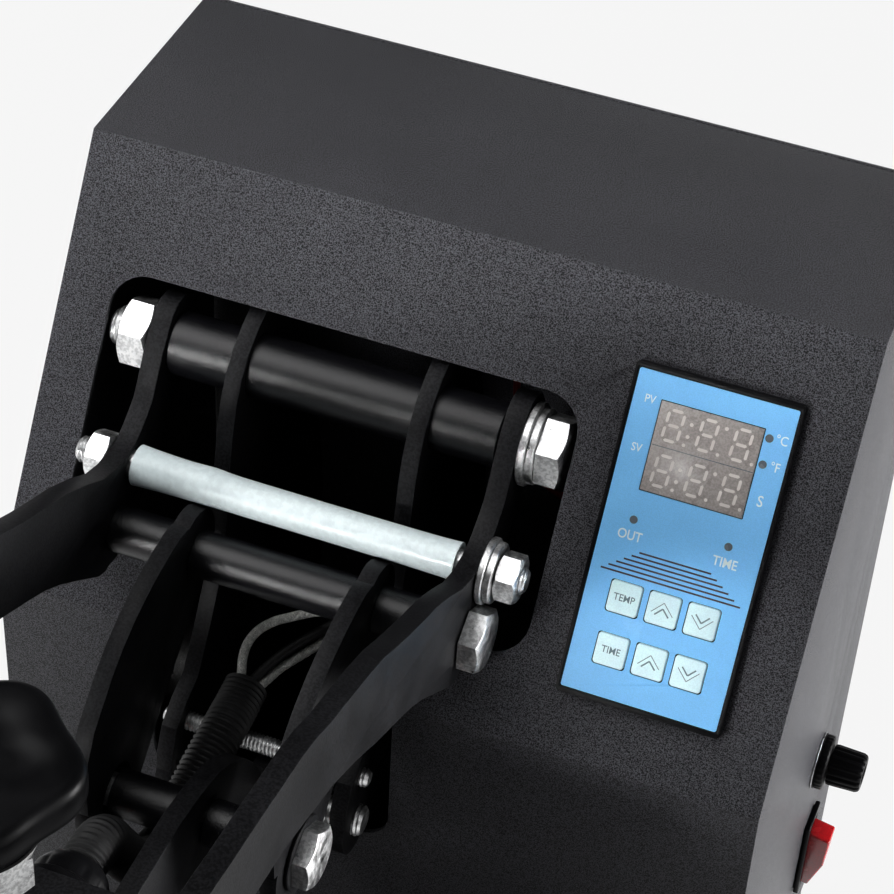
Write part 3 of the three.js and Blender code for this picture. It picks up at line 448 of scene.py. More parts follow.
def thread(maker, place, radius, low, high, pitch=1.25, circle=circle_x, count=32):
    """A threaded length, with its ends chamfered."""
    depth = pitch * 0.5
    tip = radius - pitch * 0.8
    steps = max(int((high - low) / pitch * THREAD_STEPS), THREAD_STEPS)
    loops = []
    for i in range(steps + 1):
        along = low + (high - low) * i / steps

        def ridge(angle):
            phase = (along / pitch + angle / (2 * math.pi)) % 1
            height = 1 - abs(2 * phase - 1)
            size = radius - depth * (1 - min(height * 1.25, 1))
            return min(size, tip + abs(along - low), tip + abs(along - high))

        loops.append(circle(place, along, ridge, count))
    maker.loft(loops)


def tube_x(maker, place, outer, bore, low, high, edge=0.4, count=48):
    """A tube or washer along X, with its outer edges broken."""
    maker.loft([circle_x(place, x, size, count) for x, size in (
        (low, bore), (low, outer - edge), (low + edge, outer), (high - edge, outer),
        (high, outer - edge), (high, bore))], ring=True)


# The radius of a ring that closes on its axis
AXIS = 0.01


def turned(maker, place, profile, count=48, ring=False):
    """A turned shape about a line along Z, from its radii and heights."""
    maker.loft([circle_z(place, z, radius, count) for radius, z in profile], ring=ring)


CURVE_STEPS = 40


def spline(points, count):
    """Places at even steps along a centripetal curve through the points, in mm."""
    spots = [Vector(p) for p in points]
    ends = [spots[0] * 2 - spots[1], *spots, spots[-1] * 2 - spots[-2]]
    dense = []
    for i in range(1, len(ends) - 2):
        p0, p1, p2, p3 = ends[i - 1:i + 3]
        gaps = [max((b - a).length, 1e-6) ** 0.5 for a, b in ((p0, p1), (p1, p2), (p2, p3))]
        m1 = ((p1 - p0) / gaps[0] - (p2 - p0) / (gaps[0] + gaps[1]) + (p2 - p1) / gaps[1])
        m2 = ((p2 - p1) / gaps[1] - (p3 - p1) / (gaps[1] + gaps[2]) + (p3 - p2) / gaps[2])
        m1 *= gaps[1]
        m2 *= gaps[1]
        for step in range(CURVE_STEPS):
            t = step / CURVE_STEPS
            dense.append(
                p1 + m1 * t + (-3 * p1 + 3 * p2 - 2 * m1 - m2) * t ** 2
                + (2 * p1 - 2 * p2 + m1 + m2) * t ** 3)
    dense.append(spots[-1])
    run = [0.0]
    for a, b in zip(dense, dense[1:]):
        run.append(run[-1] + (b - a).length)
    places = []
    seat = 0
    for i in range(count):
        goal = run[-1] * i / (count - 1)
        while seat < len(run) - 2 and run[seat + 1] < goal:
            seat += 1
        share = (goal - run[seat]) / max(run[seat + 1] - run[seat], 1e-9)
        places.append(dense[seat].lerp(dense[seat + 1], min(max(share, 0), 1)))
    return places


def swept(maker, places, radius, count, caps=True):
    """A round piece along a path in mm. radius(i, angle) gives its size."""
    side = None
    loops = []
    for i, spot in enumerate(places):
        ahead = (places[min(i + 1, len(places) - 1)] - places[max(i - 1, 0)]).normalized()
        if side is None:
            side = ahead.orthogonal().normalized()
        side = (side - ahead * side.dot(ahead)).normalized()
        up = ahead.cross(side)
        loops.append(ring_of(
            lambda middle, c, s: at(*(middle + side * c + up * s)),
            spot, lambda angle: radius(i, angle), count))
    maker.loft(loops, caps=caps)


# Sheets, plates and castings
for node, slot, width, steps in (
    ("base_plate", "black_paint", 1.2, 3),
    ("frame_plate_left", "black_paint", 0.5, 2),
    ("frame_plate_right", "black_paint", 0.5, 2),
    ("housing_shell", "housing_paint", 0.5, 2),
    ("housing_back_cover", "housing_paint", 0.4, 2),
    ("controller_case", "black_plastic", 0.35, 2),
    ("controller_face", "blue_face", 0.12, 1),
    ("switch_frame", "black_plastic", 0.4, 2),
    ("power_inlet", "black_plastic", 0.4, 2),
    ("handle_arm_left", "black_paint", 0.8, 3),
    ("handle_arm_right", "black_paint", 0.8, 3),
    ("link_left", "black_paint", 0.7, 2),
    ("link_right", "black_paint", 0.7, 2),
    ("platen_arm", "black_paint", 0.7, 2),
    ("hood", "black_paint", 0.8, 2),
    ("hot_shoe", "aluminium", 0.8, 2),
    ("shoe_board", "board", 0.6, 2),
    ("form_post", "black_paint", 1.0, 2),
    ("cap_form", "aluminium", 1.0, 2),
    ("switch_rocker", "red_plastic", 0.7, 3),
    ("form_pad", "silicone", 1.2, 3),
):
    skin = softened(node, slot, width, steps)

# Seats just off the plates' faces, as distances from the middle of the toggle
ARM_SEAT = 57.3
ARM_INSIDE = 50.7
LINK_SEAT = 30.8
LINK_INSIDE = 25.2
PLATEN_ARM_SEAT = 3.3

# Handle pivot
PIVOT = (49.5, 66.4)
PIVOT_FLATS = 19
bolt = Maker()
hex_body(bolt, PIVOT, PIVOT_FLATS, 62.2, 69.7, both=False)
tube_x(bolt, PIVOT, 8.8, 5.0, 61.9, 62.3, edge=0.1)
bolt.loft([circle_x(PIVOT, x, 5.95) for x in (-56, 64)])
thread(bolt, PIVOT, 6, -71, -55, pitch=1.75)
detail(bolt, "pivot_bolt", "zinc")

washers = Maker()
tube_x(washers, PIVOT, 12.3, 6.4, 57.35, 59.55, edge=0.35)
tube_x(washers, PIVOT, 11.2, 6.4, 59.65, 61.9, edge=0.3)
detail(washers, "pivot_washers", "zinc")

nut = Maker()
hex_body(nut, PIVOT, PIVOT_FLATS, -66.5, -ARM_SEAT, bore=6.1)
detail(nut, "pivot_nut", "zinc")

tube = Maker()
tube_x(tube, PIVOT, 9.5, 6.3, -ARM_INSIDE, ARM_INSIDE, edge=0.6, count=64)
detail(tube, "pivot_tube", "dark_steel")

# Stop rod with its sleeve
STOP = (18.0, 44.8)
STOP_FLATS = 13
rod = Maker()
rod.loft([circle_x(STOP, x, 3.95, 32) for x in (-56, 56)])
thread(rod, STOP, 4, -67.8, -55)
thread(rod, STOP, 4, 55, 69.6)
detail(rod, "stop_rod", "zinc")

washers = Maker()
tube_x(washers, STOP, 9.75, 4.4, 57.35, 59.25, edge=0.3)
tube_x(washers, STOP, 8.9, 4.4, 59.35, 61.35, edge=0.3)
detail(washers, "stop_washers", "zinc")
for node, low, high in (("stop_nut_right", 61.6, 68.1), ("stop_nut_left", -63.8, -ARM_SEAT)):
    nut = Maker()
    hex_body(nut, STOP, STOP_FLATS, low, high, bore=4.1)
    detail(nut, node, "zinc")

# The sleeve flares at its ends, sags and has a kink
SLEEVE_HALF = 49.3
SLEEVE_RADIUS = 5.3
SLEEVE_BORE = 4.5
SLEEVE_SAG = 0.32
KINK_SHARE, KINK_WIDTH, KINK_SIZE = 0.23, 0.045, 0.6
SLEEVE_STEPS = 60
sleeve = Maker()
outside = []
inside = []
for i in range(SLEEVE_STEPS + 1):
    share = i / SLEEVE_STEPS
    x = -SLEEVE_HALF + 2 * SLEEVE_HALF * share
    flare = 0.8 * math.exp(-share * 9) + 0.35 * math.exp(-(1 - share) * 18)
    kink = KINK_SIZE * math.exp(-((share - KINK_SHARE) / KINK_WIDTH) ** 2)
    sag = -SLEEVE_SAG * math.sin(math.pi * share) + kink * 0.5
    size = SLEEVE_RADIUS + flare + kink * 0.4
    spot = (STOP[0] - sag * 0.5, STOP[1] + sag)
    outside.append(circle_x(spot, x, size, 40))
    inside.append(circle_x(spot, x, SLEEVE_BORE, 40))
sleeve.loft(outside + inside[::-1], ring=True)
detail(sleeve, "stop_sleeve", "pale_sleeve", 50)


# Link and shoe bolts
BOLT_FLATS = 17
FLANGE_THICKNESS = 1.2


def through_bolt(name, place, seat, flange=0):
    """A bolt and nut against the seats. A radius for the flange puts one under each."""
    maker = Maker()
    if flange:
        rings = Maker()
        tube_x(rings, place, flange, 4.4, seat, seat + FLANGE_THICKNESS, edge=0.3)
        tube_x(rings, place, flange, 4.4, -seat - FLANGE_THICKNESS, -seat, edge=0.3)
        extra(rings.build(name + "_rings", FINISH["black_paint"]), "black_paint", BODY_OF[name])
    hex_body(maker, place, BOLT_FLATS, seat + 0.2, seat + 6.4, both=False)
    tube_x(maker, place, 7.9, 4.4, seat, seat + 0.3, edge=0.1)
    maker.loft([circle_x(place, x, 4.95, 36) for x in (-seat - 1, seat + 2)])
    hex_body(maker, place, BOLT_FLATS, -seat - 8, -seat, bore=4.9)
    thread(maker, place, 5, -seat - 11, -seat, pitch=1.5)
    detail(maker, name, "zinc")


LINK = (5.5, 30.4)
SHOE = (-49.0, -15.0)
through_bolt("link_bolt", LINK, ARM_SEAT)
through_bolt("shoe_bolt", SHOE, LINK_SEAT, 11.2)
for name, place, low, high in (
    ("link_spacer_right", LINK, LINK_SEAT, ARM_INSIDE),
    ("link_spacer_left", LINK, -ARM_INSIDE, -LINK_SEAT),
    ("link_spacer_middle", LINK, -LINK_INSIDE, LINK_INSIDE),
    ("shoe_spacer_right", SHOE, PLATEN_ARM_SEAT, LINK_INSIDE),
    ("shoe_spacer_left", SHOE, -LINK_INSIDE, -PLATEN_ARM_SEAT),
):
    tube = Maker()
    tube_x(tube, place, 7, 5.3, low, high, edge=0.5)
    detail(tube, name, "dark_steel")

# Threaded rods through the frame plates
ROOT = (-5.0, -49.0)
TIE = (-2.0, -33.0)
ROD_HALF = 33
rod = Maker()
thread(rod, ROOT, 5, -ROD_HALF, ROD_HALF, pitch=1.5)
detail(rod, "arm_pivot_rod", "zinc")
rod = Maker()
thread(rod, TIE, 3, -ROD_HALF, ROD_HALF)
detail(rod, "tie_rod", "zinc")

# Handle bar and grip
BAR = (-300.5, 122.4)
bar = Maker()
bar.loft([circle_x(BAR, x, r) for x, r in (
    (-62, 6.6), (-61, 7.7), (-60, 8), (60, 8), (61, 7.7), (62, 6.6))])
detail(bar, "handle_bar", "dark_steel")
GRIP_HALF = 48
GRIP_RADIUS = 14.2
GRIP_RIBS = 30
GRIP_STEPS = GRIP_RIBS * 6
COLLAR = 5
grip = Maker()
loops = []
for i in range(GRIP_STEPS + 1):
    share = i / GRIP_STEPS
    x = -GRIP_HALF + 2 * GRIP_HALF * share
    end = min(share, 1 - share) * 2 * GRIP_HALF
    size = GRIP_RADIUS + 0.3 * math.sin(math.pi * share)
    if COLLAR < end:
        size += 0.35 * math.cos(2 * math.pi * share * GRIP_RIBS)
    else:
        size += 0.8 * math.cos(min(end / COLLAR, 1) * math.pi / 2)
    size -= max(1.2 - end, 0)
    loops.append(circle_x(BAR, x, size))
loops += [circle_x(BAR, GRIP_HALF, 8.3), circle_x(BAR, -GRIP_HALF, 8.3)]
grip.loft(loops, ring=True)
detail(grip, "handle_grip", "black_rubber")

# Feet
for node in ("foot_front_left", "foot_front_right", "foot_back_left", "foot_back_right"):
    low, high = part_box(node)
    middle = ((low + high) / 2 - PRESS) / MM
    foot = Maker()
    turned(foot, middle, [(radius, GROUND + rise) for radius, rise in (
        (AXIS, 0), (10.6, 0), (11.4, 0.5), (11.7, 1.4), (12.6, 6), (13.7, 10.6), (13.9, 11.4),
        (13.6, 11.7), (AXIS, 11.7))])
    detail(foot, node, "black_rubber")

# Spindle and star knob
SPINDLE = (0.0, -162.0)
SPINDLE_FLATS = 24
spindle = Maker()
thread(spindle, SPINDLE, 8, -4.4, 103.5, pitch=2.0, circle=circle_z, count=36)
for low, high in ((28.3, 40.3), (89.2, 101.2)):
    hex_body(spindle, SPINDLE, SPINDLE_FLATS, low, high, bore=8.1, circle=circle_z)
turned(spindle, SPINDLE, [
    (7, 101.3), (13.6, 101.3), (14, 101.7), (14, 103.2), (13.6, 103.6), (7, 103.6)], ring=True)
detail(spindle, "spindle", "zinc")

KNOB_RADIUS = 26
KNOB_LOBES = 5
LOBE_DEPTH = 3
LOBE_TURN = math.radians(14)
KNOB_COUNT = 160


def lobes(inset):
    """The star's outline, drawn in by the inset."""
    return lambda angle: (
        KNOB_RADIUS - LOBE_DEPTH * (1 - math.cos((angle - LOBE_TURN) * KNOB_LOBES)) / 2 - inset)


knob = Maker()
knob.loft([circle_z(SPINDLE, z, lobes(inset), KNOB_COUNT) for inset, z in (
    (13, 116.0), (4.0, 116.0), (2.0, 116.5), (0.7, 117.6), (0.1, 119.2), (0, 121), (0, 124.4),
    (0.3, 125.8), (1.2, 127), (2.6, 127.8), (4.4, 128), (10, 128), (11, 127.4), (16, 127.4))])
turned(knob, SPINDLE, [
    (AXIS, 104), (14.2, 104), (15, 104.6), (14.9, 105.4), (13.2, 106.8), (10.8, 108.4),
    (9.6, 109.6), (9.5, 110.4), (10, 111.8), (11.6, 113.8), (14.8, 116.2), (14.8, 118.6),
    (AXIS, 118.6)], count=64)
detail(knob, "star_knob", "black_plastic")

# Gland, conduit and leads
GLAND = (-16.0, 0.0)
FLUTES = 12
FLUTE_DEPTH = 0.45


def fluted(size):
    """The gland's radius with its flutes."""
    return lambda angle: size - FLUTE_DEPTH * max(math.cos(angle * FLUTES), 0) ** 2


gland = Maker()
gland.loft([circle_y(GLAND, y, radius, 96) for radius, y in (
    (4.65, -112), (4.9, -112), (4.9, -103.7), (12.2, -103.7), (13, -103.2), (13, -99.8),
    (12.4, -99.2), (11.5, -99), (fluted(11.5), -98.6), (fluted(11.5), -95.4), (11.1, -94.2),
    (10.4, -92.6), (9.4, -91), (8.4, -90.1), (7.7, -90), (4.65, -90))], ring=True)
detail(gland, "gland", "black_plastic")

CONDUIT = [
    (-10.4, 6.3, -20.2), (-10.4, -1.5, -21.6), (-10.4, -9, -22.3), (-11, -19, -25),
    (-12, -33.5, -30), (-12.5, -49.5, -32.5), (-13.5, -61.5, -27), (-15, -69.5, -13),
    (-16, -75.5, -2.5), (-16, -82, 0), (-16, -89.7, 0)]
CONDUIT_RADIUS = 6.3
CONDUIT_BORE = 4.7
CONDUIT_RIBS = 66
RIB_DEPTH = 0.5
RIB_STEPS = 8
CONDUIT_STEPS = CONDUIT_RIBS * RIB_STEPS


def rib(i, angle):
    """The conduit's radius, with flat valleys between the ribs."""
    share = i / CONDUIT_STEPS
    crest = max(math.cos(2 * math.pi * share * CONDUIT_RIBS), -0.35)
    return CONDUIT_RADIUS + RIB_DEPTH * crest


conduit = Maker()
path = spline(CONDUIT, CONDUIT_STEPS + 1)
swept(conduit, path, rib, 32, caps=False)
swept(conduit, path[::RIB_STEPS], lambda i, angle: CONDUIT_BORE, 32, caps=False)
detail(conduit, "conduit", "black_rubber", 60)

LEADS = {
    "lead_near": [
        (-11.4, 0.5, -18.6), (-12.3, 6.9, -17), (-13.5, 11, -13.2), (-13.5, 14.5, -10.5),
        (-11.8, 18, -7.9), (-7.8, 21.5, -5.5), (-4, 24, -4.6), (1, 27.5, -3.9),
        (5.6, 28.5, -2.2)],
    "lead_far": [
        (-9.4, 0.5, -22), (-8.4, 7.1, -22), (-6.5, 11.5, -21.2), (-4.4, 17, -20.4),
        (-0.1, 22, -17.9), (3.6, 27, -16.4), (7.2, 32, -14.7)],
}
BRAID_STEPS = 220
BRAID_COUNT = 30
BRAID_RADIUS = 1.18
STRAND_RISE = 0.26
STRANDS = 5
BRAID_TURNS = 16


def woven(i, angle):
    """Two families of flat strands that wind round the lead in opposite ways."""
    around = angle * STRANDS
    run = i / BRAID_STEPS * math.pi * 2 * BRAID_TURNS
    one = abs(math.sin((around + run) / 2))
    two = abs(math.sin((around - run) / 2))
    return BRAID_RADIUS + STRAND_RISE * max(one, two) ** 2


for node, route in LEADS.items():
    lead = Maker()
    swept(lead, spline(route, BRAID_STEPS), woven, BRAID_COUNT)
    piece = lead.build(node + "_detail", FINISH["braid"], 70)
    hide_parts(node)
    tuple(at(*route[1]))
    tuple(at(*route[-1]))
    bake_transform(piece)

# Fuse holder and its cap
FUSE = (104.0, -83.0)
KNURLS = 28
KNURL_DEPTH = 0.22


def knurled(size):
    """The fuse holder's radius with its knurls."""
    return lambda angle: size - KNURL_DEPTH * (0.5 + 0.5 * math.cos(angle * KNURLS))


holder = Maker()
holder.loft([circle_x(FUSE, x, size, 168) for x, size in (
    (117.5, AXIS), (117.5, 5.4), (118, 5.8), (147.4, 5.8), (147.6, 8.9), (147.9, 9.3),
    (148.5, 9.3), (148.6, 8.9), (148.8, knurled(9.1)), (150.8, knurled(9.1)), (151.2, 8.7),
    (151.5, 8.1), (151.5, AXIS))])
detail(holder, "fuse_holder", "black_plastic")
ring = Maker()
tube_x(ring, FUSE, 9.35, 5.9, 147.62, 148.2, edge=0.15, count=64)
extra(ring.build("fuse_washer", FINISH["zinc"]), "zinc", "frame")


CAP_FLUTES = 16
CAP_FLUTE_DEPTH = 0.55


def flute(size):
    """The fuse cap's radius with its flutes."""
    return lambda angle: size - CAP_FLUTE_DEPTH * (0.5 - 0.5 * math.cos(angle * CAP_FLUTES)) ** 2


cap = Maker()
cap.loft([circle_x(FUSE, x, size, 192) for x, size in (
    (151.8, 6.1), (151.9, flute(6.6)), (153, flute(6.8)), (161.4, flute(6.5)),
    (162.4, flute(6.1)), (162.8, 5.5), (162.8, 3.6), (162.0, 3.4), (162.0, AXIS))])
detail(cap, "fuse_cap", "black_plastic")

# Controller graphics
def flat_shape(maker, corners, low, high):
    """A flat printed shape given by its corners on the controller's face."""
    maker.loft([[on_face(u, v, n) for u, v in corners] for n in (low, high)])


def bar_shape(maker, start, end, width, low, high):
    """A straight printed bar."""
    run = Vector((end[0] - start[0], end[1] - start[1]))
    side = Vector((-run.y, run.x)).normalized() * width / 2
    flat_shape(maker, [
        (start[0] + side.x, start[1] + side.y), (start[0] - side.x, start[1] - side.y),
        (end[0] - side.x, end[1] - side.y), (end[0] + side.x, end[1] + side.y)], low, high)


def dot_shape(maker, u, v, radius, low, high, count=24):
    """A round printed dot."""
    corners = [(u + radius * math.cos(2 * math.pi * i / count),
                v + radius * math.sin(2 * math.pi * i / count)) for i in range(count)]
    flat_shape(maker, corners, low, high)


# Heights over the panel, and how far a print is let into what it stands on
LABEL_TOP = 3.0
PRINT_TOP = 3.04
DISPLAY_TOP = 3.2
KEY_TOP = 3.25
SUNK = 0.05
SEGMENT_TOP = DISPLAY_TOP + 0.03
LETTER_HALF = 0.02
CAPITAL_SHARE = 0.7
face_turn = Matrix((
    (1, 0, 0),
    (0, LEAN_SIN, -LEAN_COS),
    (0, LEAN_COS, LEAN_SIN),
)).to_4x4()


def words(name, text, spot, height, material, slot, body, width, thick):
    """Letters that stand on the face at a spot of u, v and n."""
    u, v, n = spot
    curve = bpy.data.curves.new(name, "FONT")
    curve.body = text
    curve.size = height * MM / CAPITAL_SHARE
    curve.align_x = "CENTER"
    curve.align_y = "CENTER"
    curve.extrude = LETTER_HALF * MM
    curve.offset = thick * MM
    curve.resolution_u = 4
    piece = linked(name, curve)
    piece.matrix_world = (Matrix.Translation(on_face(u, v, n + LETTER_HALF)) @ face_turn
                          @ Matrix.Diagonal((width, 1, 1, 1)))
    bpy.context.view_layer.update()
    mesh = evaluated(piece)
    mesh.transform(piece.matrix_world)
    mesh.materials.clear()
    mesh.materials.append(material)
    mesh.name = name
    bpy.data.objects.remove(piece)
    bpy.data.curves.remove(curve)
    return extra(linked(name, mesh), slot, body)


for name, text, u, v, height, thick in (
    ("print_pv", "PV", -17.9, 38.3, 2.3, 0.02),
    ("print_sv", "SV", -18.3, 24.4, 2.3, 0.02),
    ("print_c", "°C", 19.9, 37.0, 2.6, 0.02),
    ("print_f", "°F", 19.9, 29.4, 2.6, 0.02),
    ("print_s", "S", 18.3, 19.3, 3.1, 0.03),
    ("print_out", "OUT", -14.1, 0.2, 2.7, 0.04),
    ("print_time", "TIME", 13.3, 0.2, 2.7, 0.04),
):
    words(name, text, (u, v, LABEL_TOP), height, WHITE_PRINT, "blue_face", "frame", 0.86, thick)

dots = Maker()
for u, v in ((16.4, 36.8), (16.4, 29.4), (-14.1, 4.8), (13.1, 4.9)):
    dot_shape(dots, u, v, 1.15, LABEL_TOP - SUNK, PRINT_TOP)
extra(dots.build("lamp_dots", DARK_MARK_AND_SHADE), "blue_face", "frame")

STRIPES = 6
STRIPE_WIDTH = 0.5
stripes = Maker()
for i in range(STRIPES):
    share = i / (STRIPES - 1)
    v = -3.7 - 6.8 * share
    left = -10.3 - 9.5 * share
    right = 10.4 + 10.0 * share
    bar_shape(stripes, (left, v), (right, v), STRIPE_WIDTH, LABEL_TOP - SUNK, PRINT_TOP)
extra(stripes.build("face_stripes", DARK_PRINT), "blue_face", "frame")

# Display: a filter sheet with two rows of three unlit digits
GLASS_HALF = (14.6, 12.7)
MIDDLE_V = 26.2


def glass_loop(inset, n):
    """The display's outline, drawn in by the inset."""
    return [on_face(su * (GLASS_HALF[0] - inset), MIDDLE_V + sv * (GLASS_HALF[1] - inset), n)
            for su, sv in ((-1, -1), (1, -1), (1, 1), (-1, 1))]


glass = Maker()
glass.loft([glass_loop(0, 2.5), glass_loop(0, 3.08), glass_loop(0.2, DISPLAY_TOP)])
detail(glass, "controller_display", "display_glass")

DIGIT = (5.2, 9.4)
SLANT = 0.06
SEGMENT_WIDTH = 0.85
SEGMENT_GAP = 0.55
ROW_DROP = 12.9
COLUMN_STEP = 9.65


def digit(maker, left, top):
    """An unlit eight of seven segments."""
    def spot(x, y):
        return (left + x + (y - DIGIT[1] / 2) * -SLANT, top - y)

    def segment(a, b):
        run = Vector(b) - Vector(a)
        start = Vector(a) + run.normalized() * SEGMENT_GAP
        stop = Vector(b) - run.normalized() * SEGMENT_GAP
        side = Vector((-run.y, run.x)).normalized() * SEGMENT_WIDTH / 2
        tip = run.normalized() * SEGMENT_WIDTH / 2
        corners = [start, start + tip + side, stop - tip + side, stop,
                   stop - tip - side, start + tip - side]
        flat_shape(maker, [spot(c.x, c.y) for c in corners], DISPLAY_TOP - SUNK, SEGMENT_TOP)

    w, h = DIGIT
    inset = SEGMENT_WIDTH / 2
    x0, x1 = inset, w - inset
    y0, y1, y2 = inset, h / 2, h - inset
    for a, b in (((x0, y0), (x1, y0)), ((x0, y1), (x1, y1)), ((x0, y2), (x1, y2)),
                 ((x0, y0), (x0, y1)), ((x0, y1), (x0, y2)),
                 ((x1, y0), (x1, y1)), ((x1, y1), (x1, y2))):
        segment(a, b)


segments = Maker()
for row in range(2):
    top = MIDDLE_V + GLASS_HALF[1] - 1.3 - row * ROW_DROP
    for column in range(3):
        left = -GLASS_HALF[0] + 2.2 + column * COLUMN_STEP
        digit(segments, left, top)
        dot_shape(segments, left + 6.6, top - 9.0, 0.5, DISPLAY_TOP - SUNK, SEGMENT_TOP, 12)
    for u, drop in ((-GLASS_HALF[0] + 9.6, 3.0), (-GLASS_HALF[0] + 9.3, 6.5),
                    (-GLASS_HALF[0] + 19.2, 1.4)):
        dot_shape(segments, u, top - drop, 0.55, DISPLAY_TOP - SUNK, SEGMENT_TOP, 14)
extra(segments.build("display_segments", SEGMENT), "display_glass", "frame")
seam = Maker()
bar_shape(seam, (-14.4, MIDDLE_V + 0.35), (14.4, MIDDLE_V + 0.35), 0.25,
          DISPLAY_TOP - SUNK, DISPLAY_TOP + 0.015)
extra(seam.build("display_seam", DARK_MARK_AND_SHADE), "display_glass", "frame")

# Keys: softly domed tops with their legends
KEY_HALF = 4.5
KEY_CORNER = 1.0
CORNER_STEPS = 6
KEY_STEP = 11.2


def key_loop(middle, inset, n):
    """A key's outline with its round corners, drawn in by the inset."""
    half = KEY_HALF - inset
    radius = max(KEY_CORNER - inset * 0.5, 0.3)
    loop = []
    for quarter, (su, sv) in enumerate(((1, 1), (-1, 1), (-1, -1), (1, -1))):
        for k in range(CORNER_STEPS + 1):
            angle = (quarter + k / CORNER_STEPS) * math.pi / 2
            loop.append(on_face(
                middle[0] + su * (half - radius) + radius * math.cos(angle),
                middle[1] + sv * (half - radius) + radius * math.sin(angle), n))
    return loop


def arrow(middle, sign):
    """A small and a large chevron that point up for a sign of 1 and down for -1."""
    legend = Maker()
    for reach, rise, width in ((3.1, 1.5, 0.22), (2.0, -0.2, 0.42)):
        peak = (middle[0], middle[1] + sign * (rise + 0.6))
        for side in (-1, 1):
            foot = (middle[0] + side * reach, middle[1] + sign * (rise + 0.6 - reach * 1.05))
            bar_shape(legend, foot, peak, width, KEY_TOP - 0.04, KEY_TOP + 0.03)
    return legend


for row, drop in (("temp", -17.4), ("time", -32.7)):
    for column, suffix, sign in ((-1, "", 0), (0, "_up", 1), (1, "_down", -1)):
        node = "key_" + row + suffix
        middle = (column * KEY_STEP, drop)
        key = Maker()
        key.loft([key_loop(middle, inset, n) for inset, n in (
            (0, 2.1), (0, 3.0), (0.12, 3.16), (0.35, 3.23), (1.2, KEY_TOP))])
        detail(key, node, "key_plastic")
        if sign:
            legend = arrow(middle, sign).build(node + "_legend", KEY_PRINT)
            extra(legend, "key_plastic", BODY_OF[node])
        else:
            words(node + "_legend", row.upper(), (*middle, KEY_TOP), 2.0, KEY_PRINT,
                  "key_plastic", BODY_OF[node], 0.9, 0.02)


# Small fasteners
HEAD_HEIGHT = 1.6
HEAD_PROFILE = (
    (1.0, -0.3), (1.0, 0.25), (0.94, 0.7), (0.78, 1.15), (0.5, 1.45), (0.3, HEAD_HEIGHT))


def screw(name, spot, axis, radius, body, height=HEAD_HEIGHT):
    """A pan head with a cross of painted shade, standing on a face."""
    axis = Vector(axis)
    side = axis.orthogonal().normalized()
    up = axis.cross(side)
    head = Maker()
    head.loft([
        ring_of(
            lambda out, c, s: at(*(Vector(spot) + side * c + up * s + axis * out)),
            out * height / HEAD_HEIGHT, radius * share, 24)
        for share, out in HEAD_PROFILE])
    extra(head.build(name, FINISH["zinc"]), "zinc", body)
    # The cross is a dark bar through the top of the head: painted shade in place of a recessed
    # cross.
    cross = Maker()
    for direction, other in ((side, up), (up, side)):
        corners = [
            Vector(spot) + direction * (a * radius * 1.7) + other * (b * radius * 1.7)
            for a, b in ((-0.28, -0.07), (0.28, -0.07), (0.28, 0.07), (-0.28, 0.07))]
        cross.loft([[at(*(c + axis * out)) for c in corners]
                    for out in (height * 0.9, height * 1.02)])
    extra(cross.build(name + "_shade_cross", DARK_MARK_AND_SHADE), "zinc", body)


spots = [(x, z) for x in (LEFT + 9, (LEFT + RIGHT) / 2, RIGHT - 9)
         for z in (PANEL_TOP_Z - 8, DECK_TOP + 9)]
spots += [(x, -30) for x in (LEFT + 7, RIGHT - 7)]
for i, (x, z) in enumerate(spots):
    screw("cover_screw_%d" % i, (x, BACK, z), (0, 1, 0), 3.4, "frame")
for i, x in enumerate((80.0, 120.0)):
    screw("socket_screw_%d" % i, (x, BACK + 3.5, -120), (0, 1, 0), 2.6, "frame", 1.2)
for i, (x, y) in enumerate(((-52, -194), (52, -194), (-52, -130), (52, -130))):
    screw("hood_screw_%d" % i, (x, y, 16), (0, 0, 1), 4.2, "platen", 2.4)

# Wires seen through the window
WIRE_RADIUS = 1.5
route = [
    (-10.2, 1, -19.6), (-9.6, 8, -19.4), (-7, 14, -17.2), (-3.2, 20, -14.6), (1.6, 26, -12.4),
    (7, 33, -11)]
wire = Maker()
swept(wire, spline(route, 60), lambda i, angle: WIRE_RADIUS, 16)
piece = wire.build("wire_black", FINISH["black_rubber"], 60)
tuple(at(*route[1]))
tuple(at(*route[-1]))
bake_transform(piece)

for name, material, slot, radius, count, route in (
    ("wire_red", RED_WIRE, "red_plastic", lambda i, angle: 1.1, 16, [
        (38, 96, 52), (40, 92, 40), (41, 94, 26), (43, 99, 10), (60, 101, 0), (86, 94, 20)]),
    ("wire_braid", FINISH["braid"], "braid", woven, BRAID_COUNT, [
        (64, 70, 26), (69, 74, 33), (76, 76, 37), (84, 80, 36), (92, 88, 30)]),
):
    wire = Maker()
    swept(wire, spline(route, BRAID_STEPS), radius, count)
    extra(wire.build(name, material, 60), slot, "frame")

# Floor, world and lamps
FLOOR_HALF = 3.0
FLOOR_DROP = 0.0004
FLOOR_GREY = 0.3
FLOOR_GLOW = 0.9
SKY_STRENGTH = 0.07


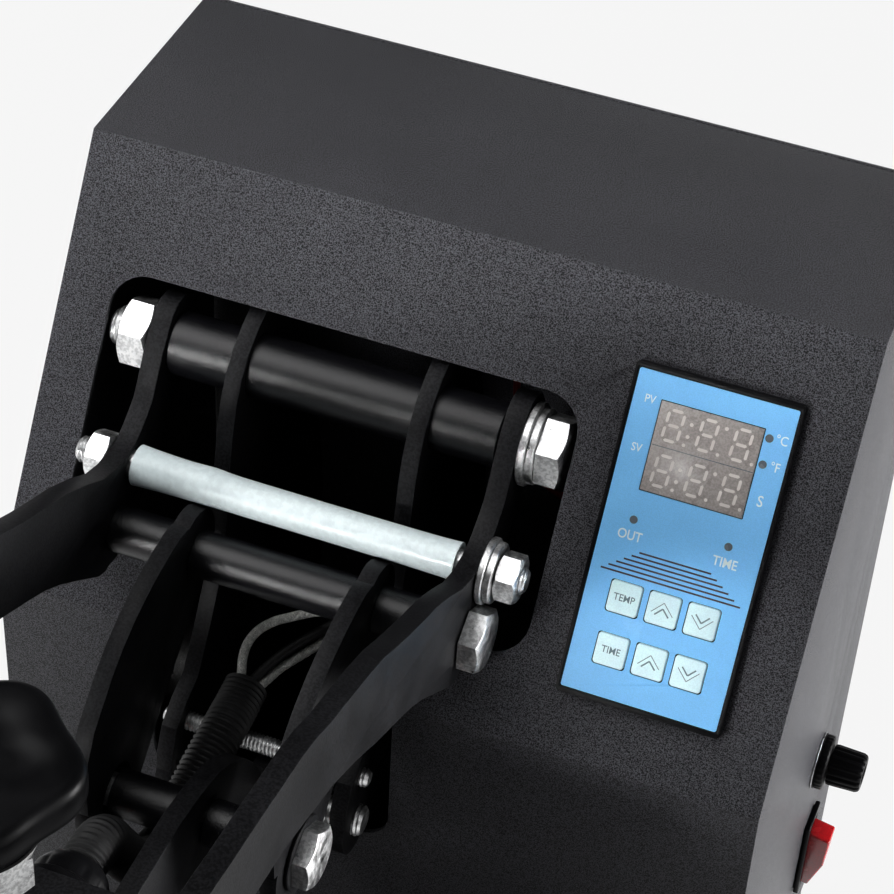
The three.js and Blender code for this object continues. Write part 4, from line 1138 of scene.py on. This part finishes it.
def floor_material():
    """A grey floor for the lighting, which looks white to the camera and in mirrors."""
    material = bpy.data.materials.new("floor")
    material.use_nodes = True
    nodes, links = material.node_tree.nodes, material.node_tree.links
    shader = nodes["Principled BSDF"]
    shader.inputs["Base Color"].default_value = (FLOOR_GREY, FLOOR_GREY, FLOOR_GREY, 1)
    shader.inputs["Roughness"].default_value = 0.9
    glow = ink(nodes, "ShaderNodeEmission")
    glow.inputs["Strength"].default_value = 1.0
    glow.inputs["Color"].default_value = (1, 1, 1, 1)
    ray = ink(nodes, "ShaderNodeLightPath").outputs
    seen = calculated(nodes, links, "MULTIPLY", ray["Is Camera Ray"], FLOOR_GLOW)
    mirrored = calculated(
        nodes, links, "MAXIMUM", ray["Is Glossy Ray"], ray["Is Transmission Ray"])
    either = calculated(nodes, links, "MAXIMUM", seen, mirrored)
    surface = mixed(nodes, links, either, shader.outputs["BSDF"], glow.outputs["Emission"])
    links.new(surface, nodes["Material Output"].inputs["Surface"])
    return material


def studio():
    """A dim sky for the lighting, which looks white to the camera."""
    world = bpy.data.worlds.new("studio")
    world.use_nodes = True
    nodes, links = world.node_tree.nodes, world.node_tree.links
    soft = nodes["Background"]
    soft.inputs["Color"].default_value = (0.95, 0.97, 1.0, 1)
    soft.inputs["Strength"].default_value = SKY_STRENGTH
    white = ink(nodes, "ShaderNodeBackground")
    white.inputs["Color"].default_value = (1, 1, 1, 1)
    ray = ink(nodes, "ShaderNodeLightPath").outputs
    either = calculated(nodes, links, "MAXIMUM", ray["Is Camera Ray"], ray["Is Transmission Ray"])
    surface = mixed(nodes, links, either, soft.outputs["Background"], white.outputs["Background"])
    links.new(surface, nodes["World Output"].inputs["Surface"])
    return world


floor = Maker()
floor.spots = [
    Vector((x * FLOOR_HALF, y * FLOOR_HALF, -FLOOR_DROP))
    for x, y in ((-1, -1), (1, -1), (1, 1), (-1, 1))]
floor.faces = [(0, 1, 2, 3)]
floor_paint = floor_material()
floor.build("floor", floor_paint)

scene.world = studio()
for name, place, target, size, power, spread in (
    ("front_left", (-1.0, -0.25, 1.6), (0.02, 0.1, 0.24), 1.5, 26, 180),
    ("sheen", (-0.45, -1.15, 0.55), (0.0, 0.15, 0.46), 0.35, 0.85, 24),
    ("top", (0.1, 0.1, 1.8), (0, 0.05, 0.2), 0.9, 2, 180),
    ("right", (1.1, 0.45, 0.2), (0.11, 0.17, 0.18), 0.5, 2.1, 40),
    ("right_front", (1.3, -0.2, 0.7), (0.0, 0.0, 0.25), 0.7, 1.2, 180),
):
    lamp = bpy.data.lights.new(name, "AREA")
    lamp.shape = "SQUARE"
    lamp.size = size
    lamp.energy = power
    lamp.spread = math.radians(spread)
    holder = linked(name, lamp)
    holder.location = place
    holder.rotation_euler = (Vector(target) - Vector(place)).to_track_quat("-Z", "Y").to_euler()

scene.view_settings.view_transform = "Standard"
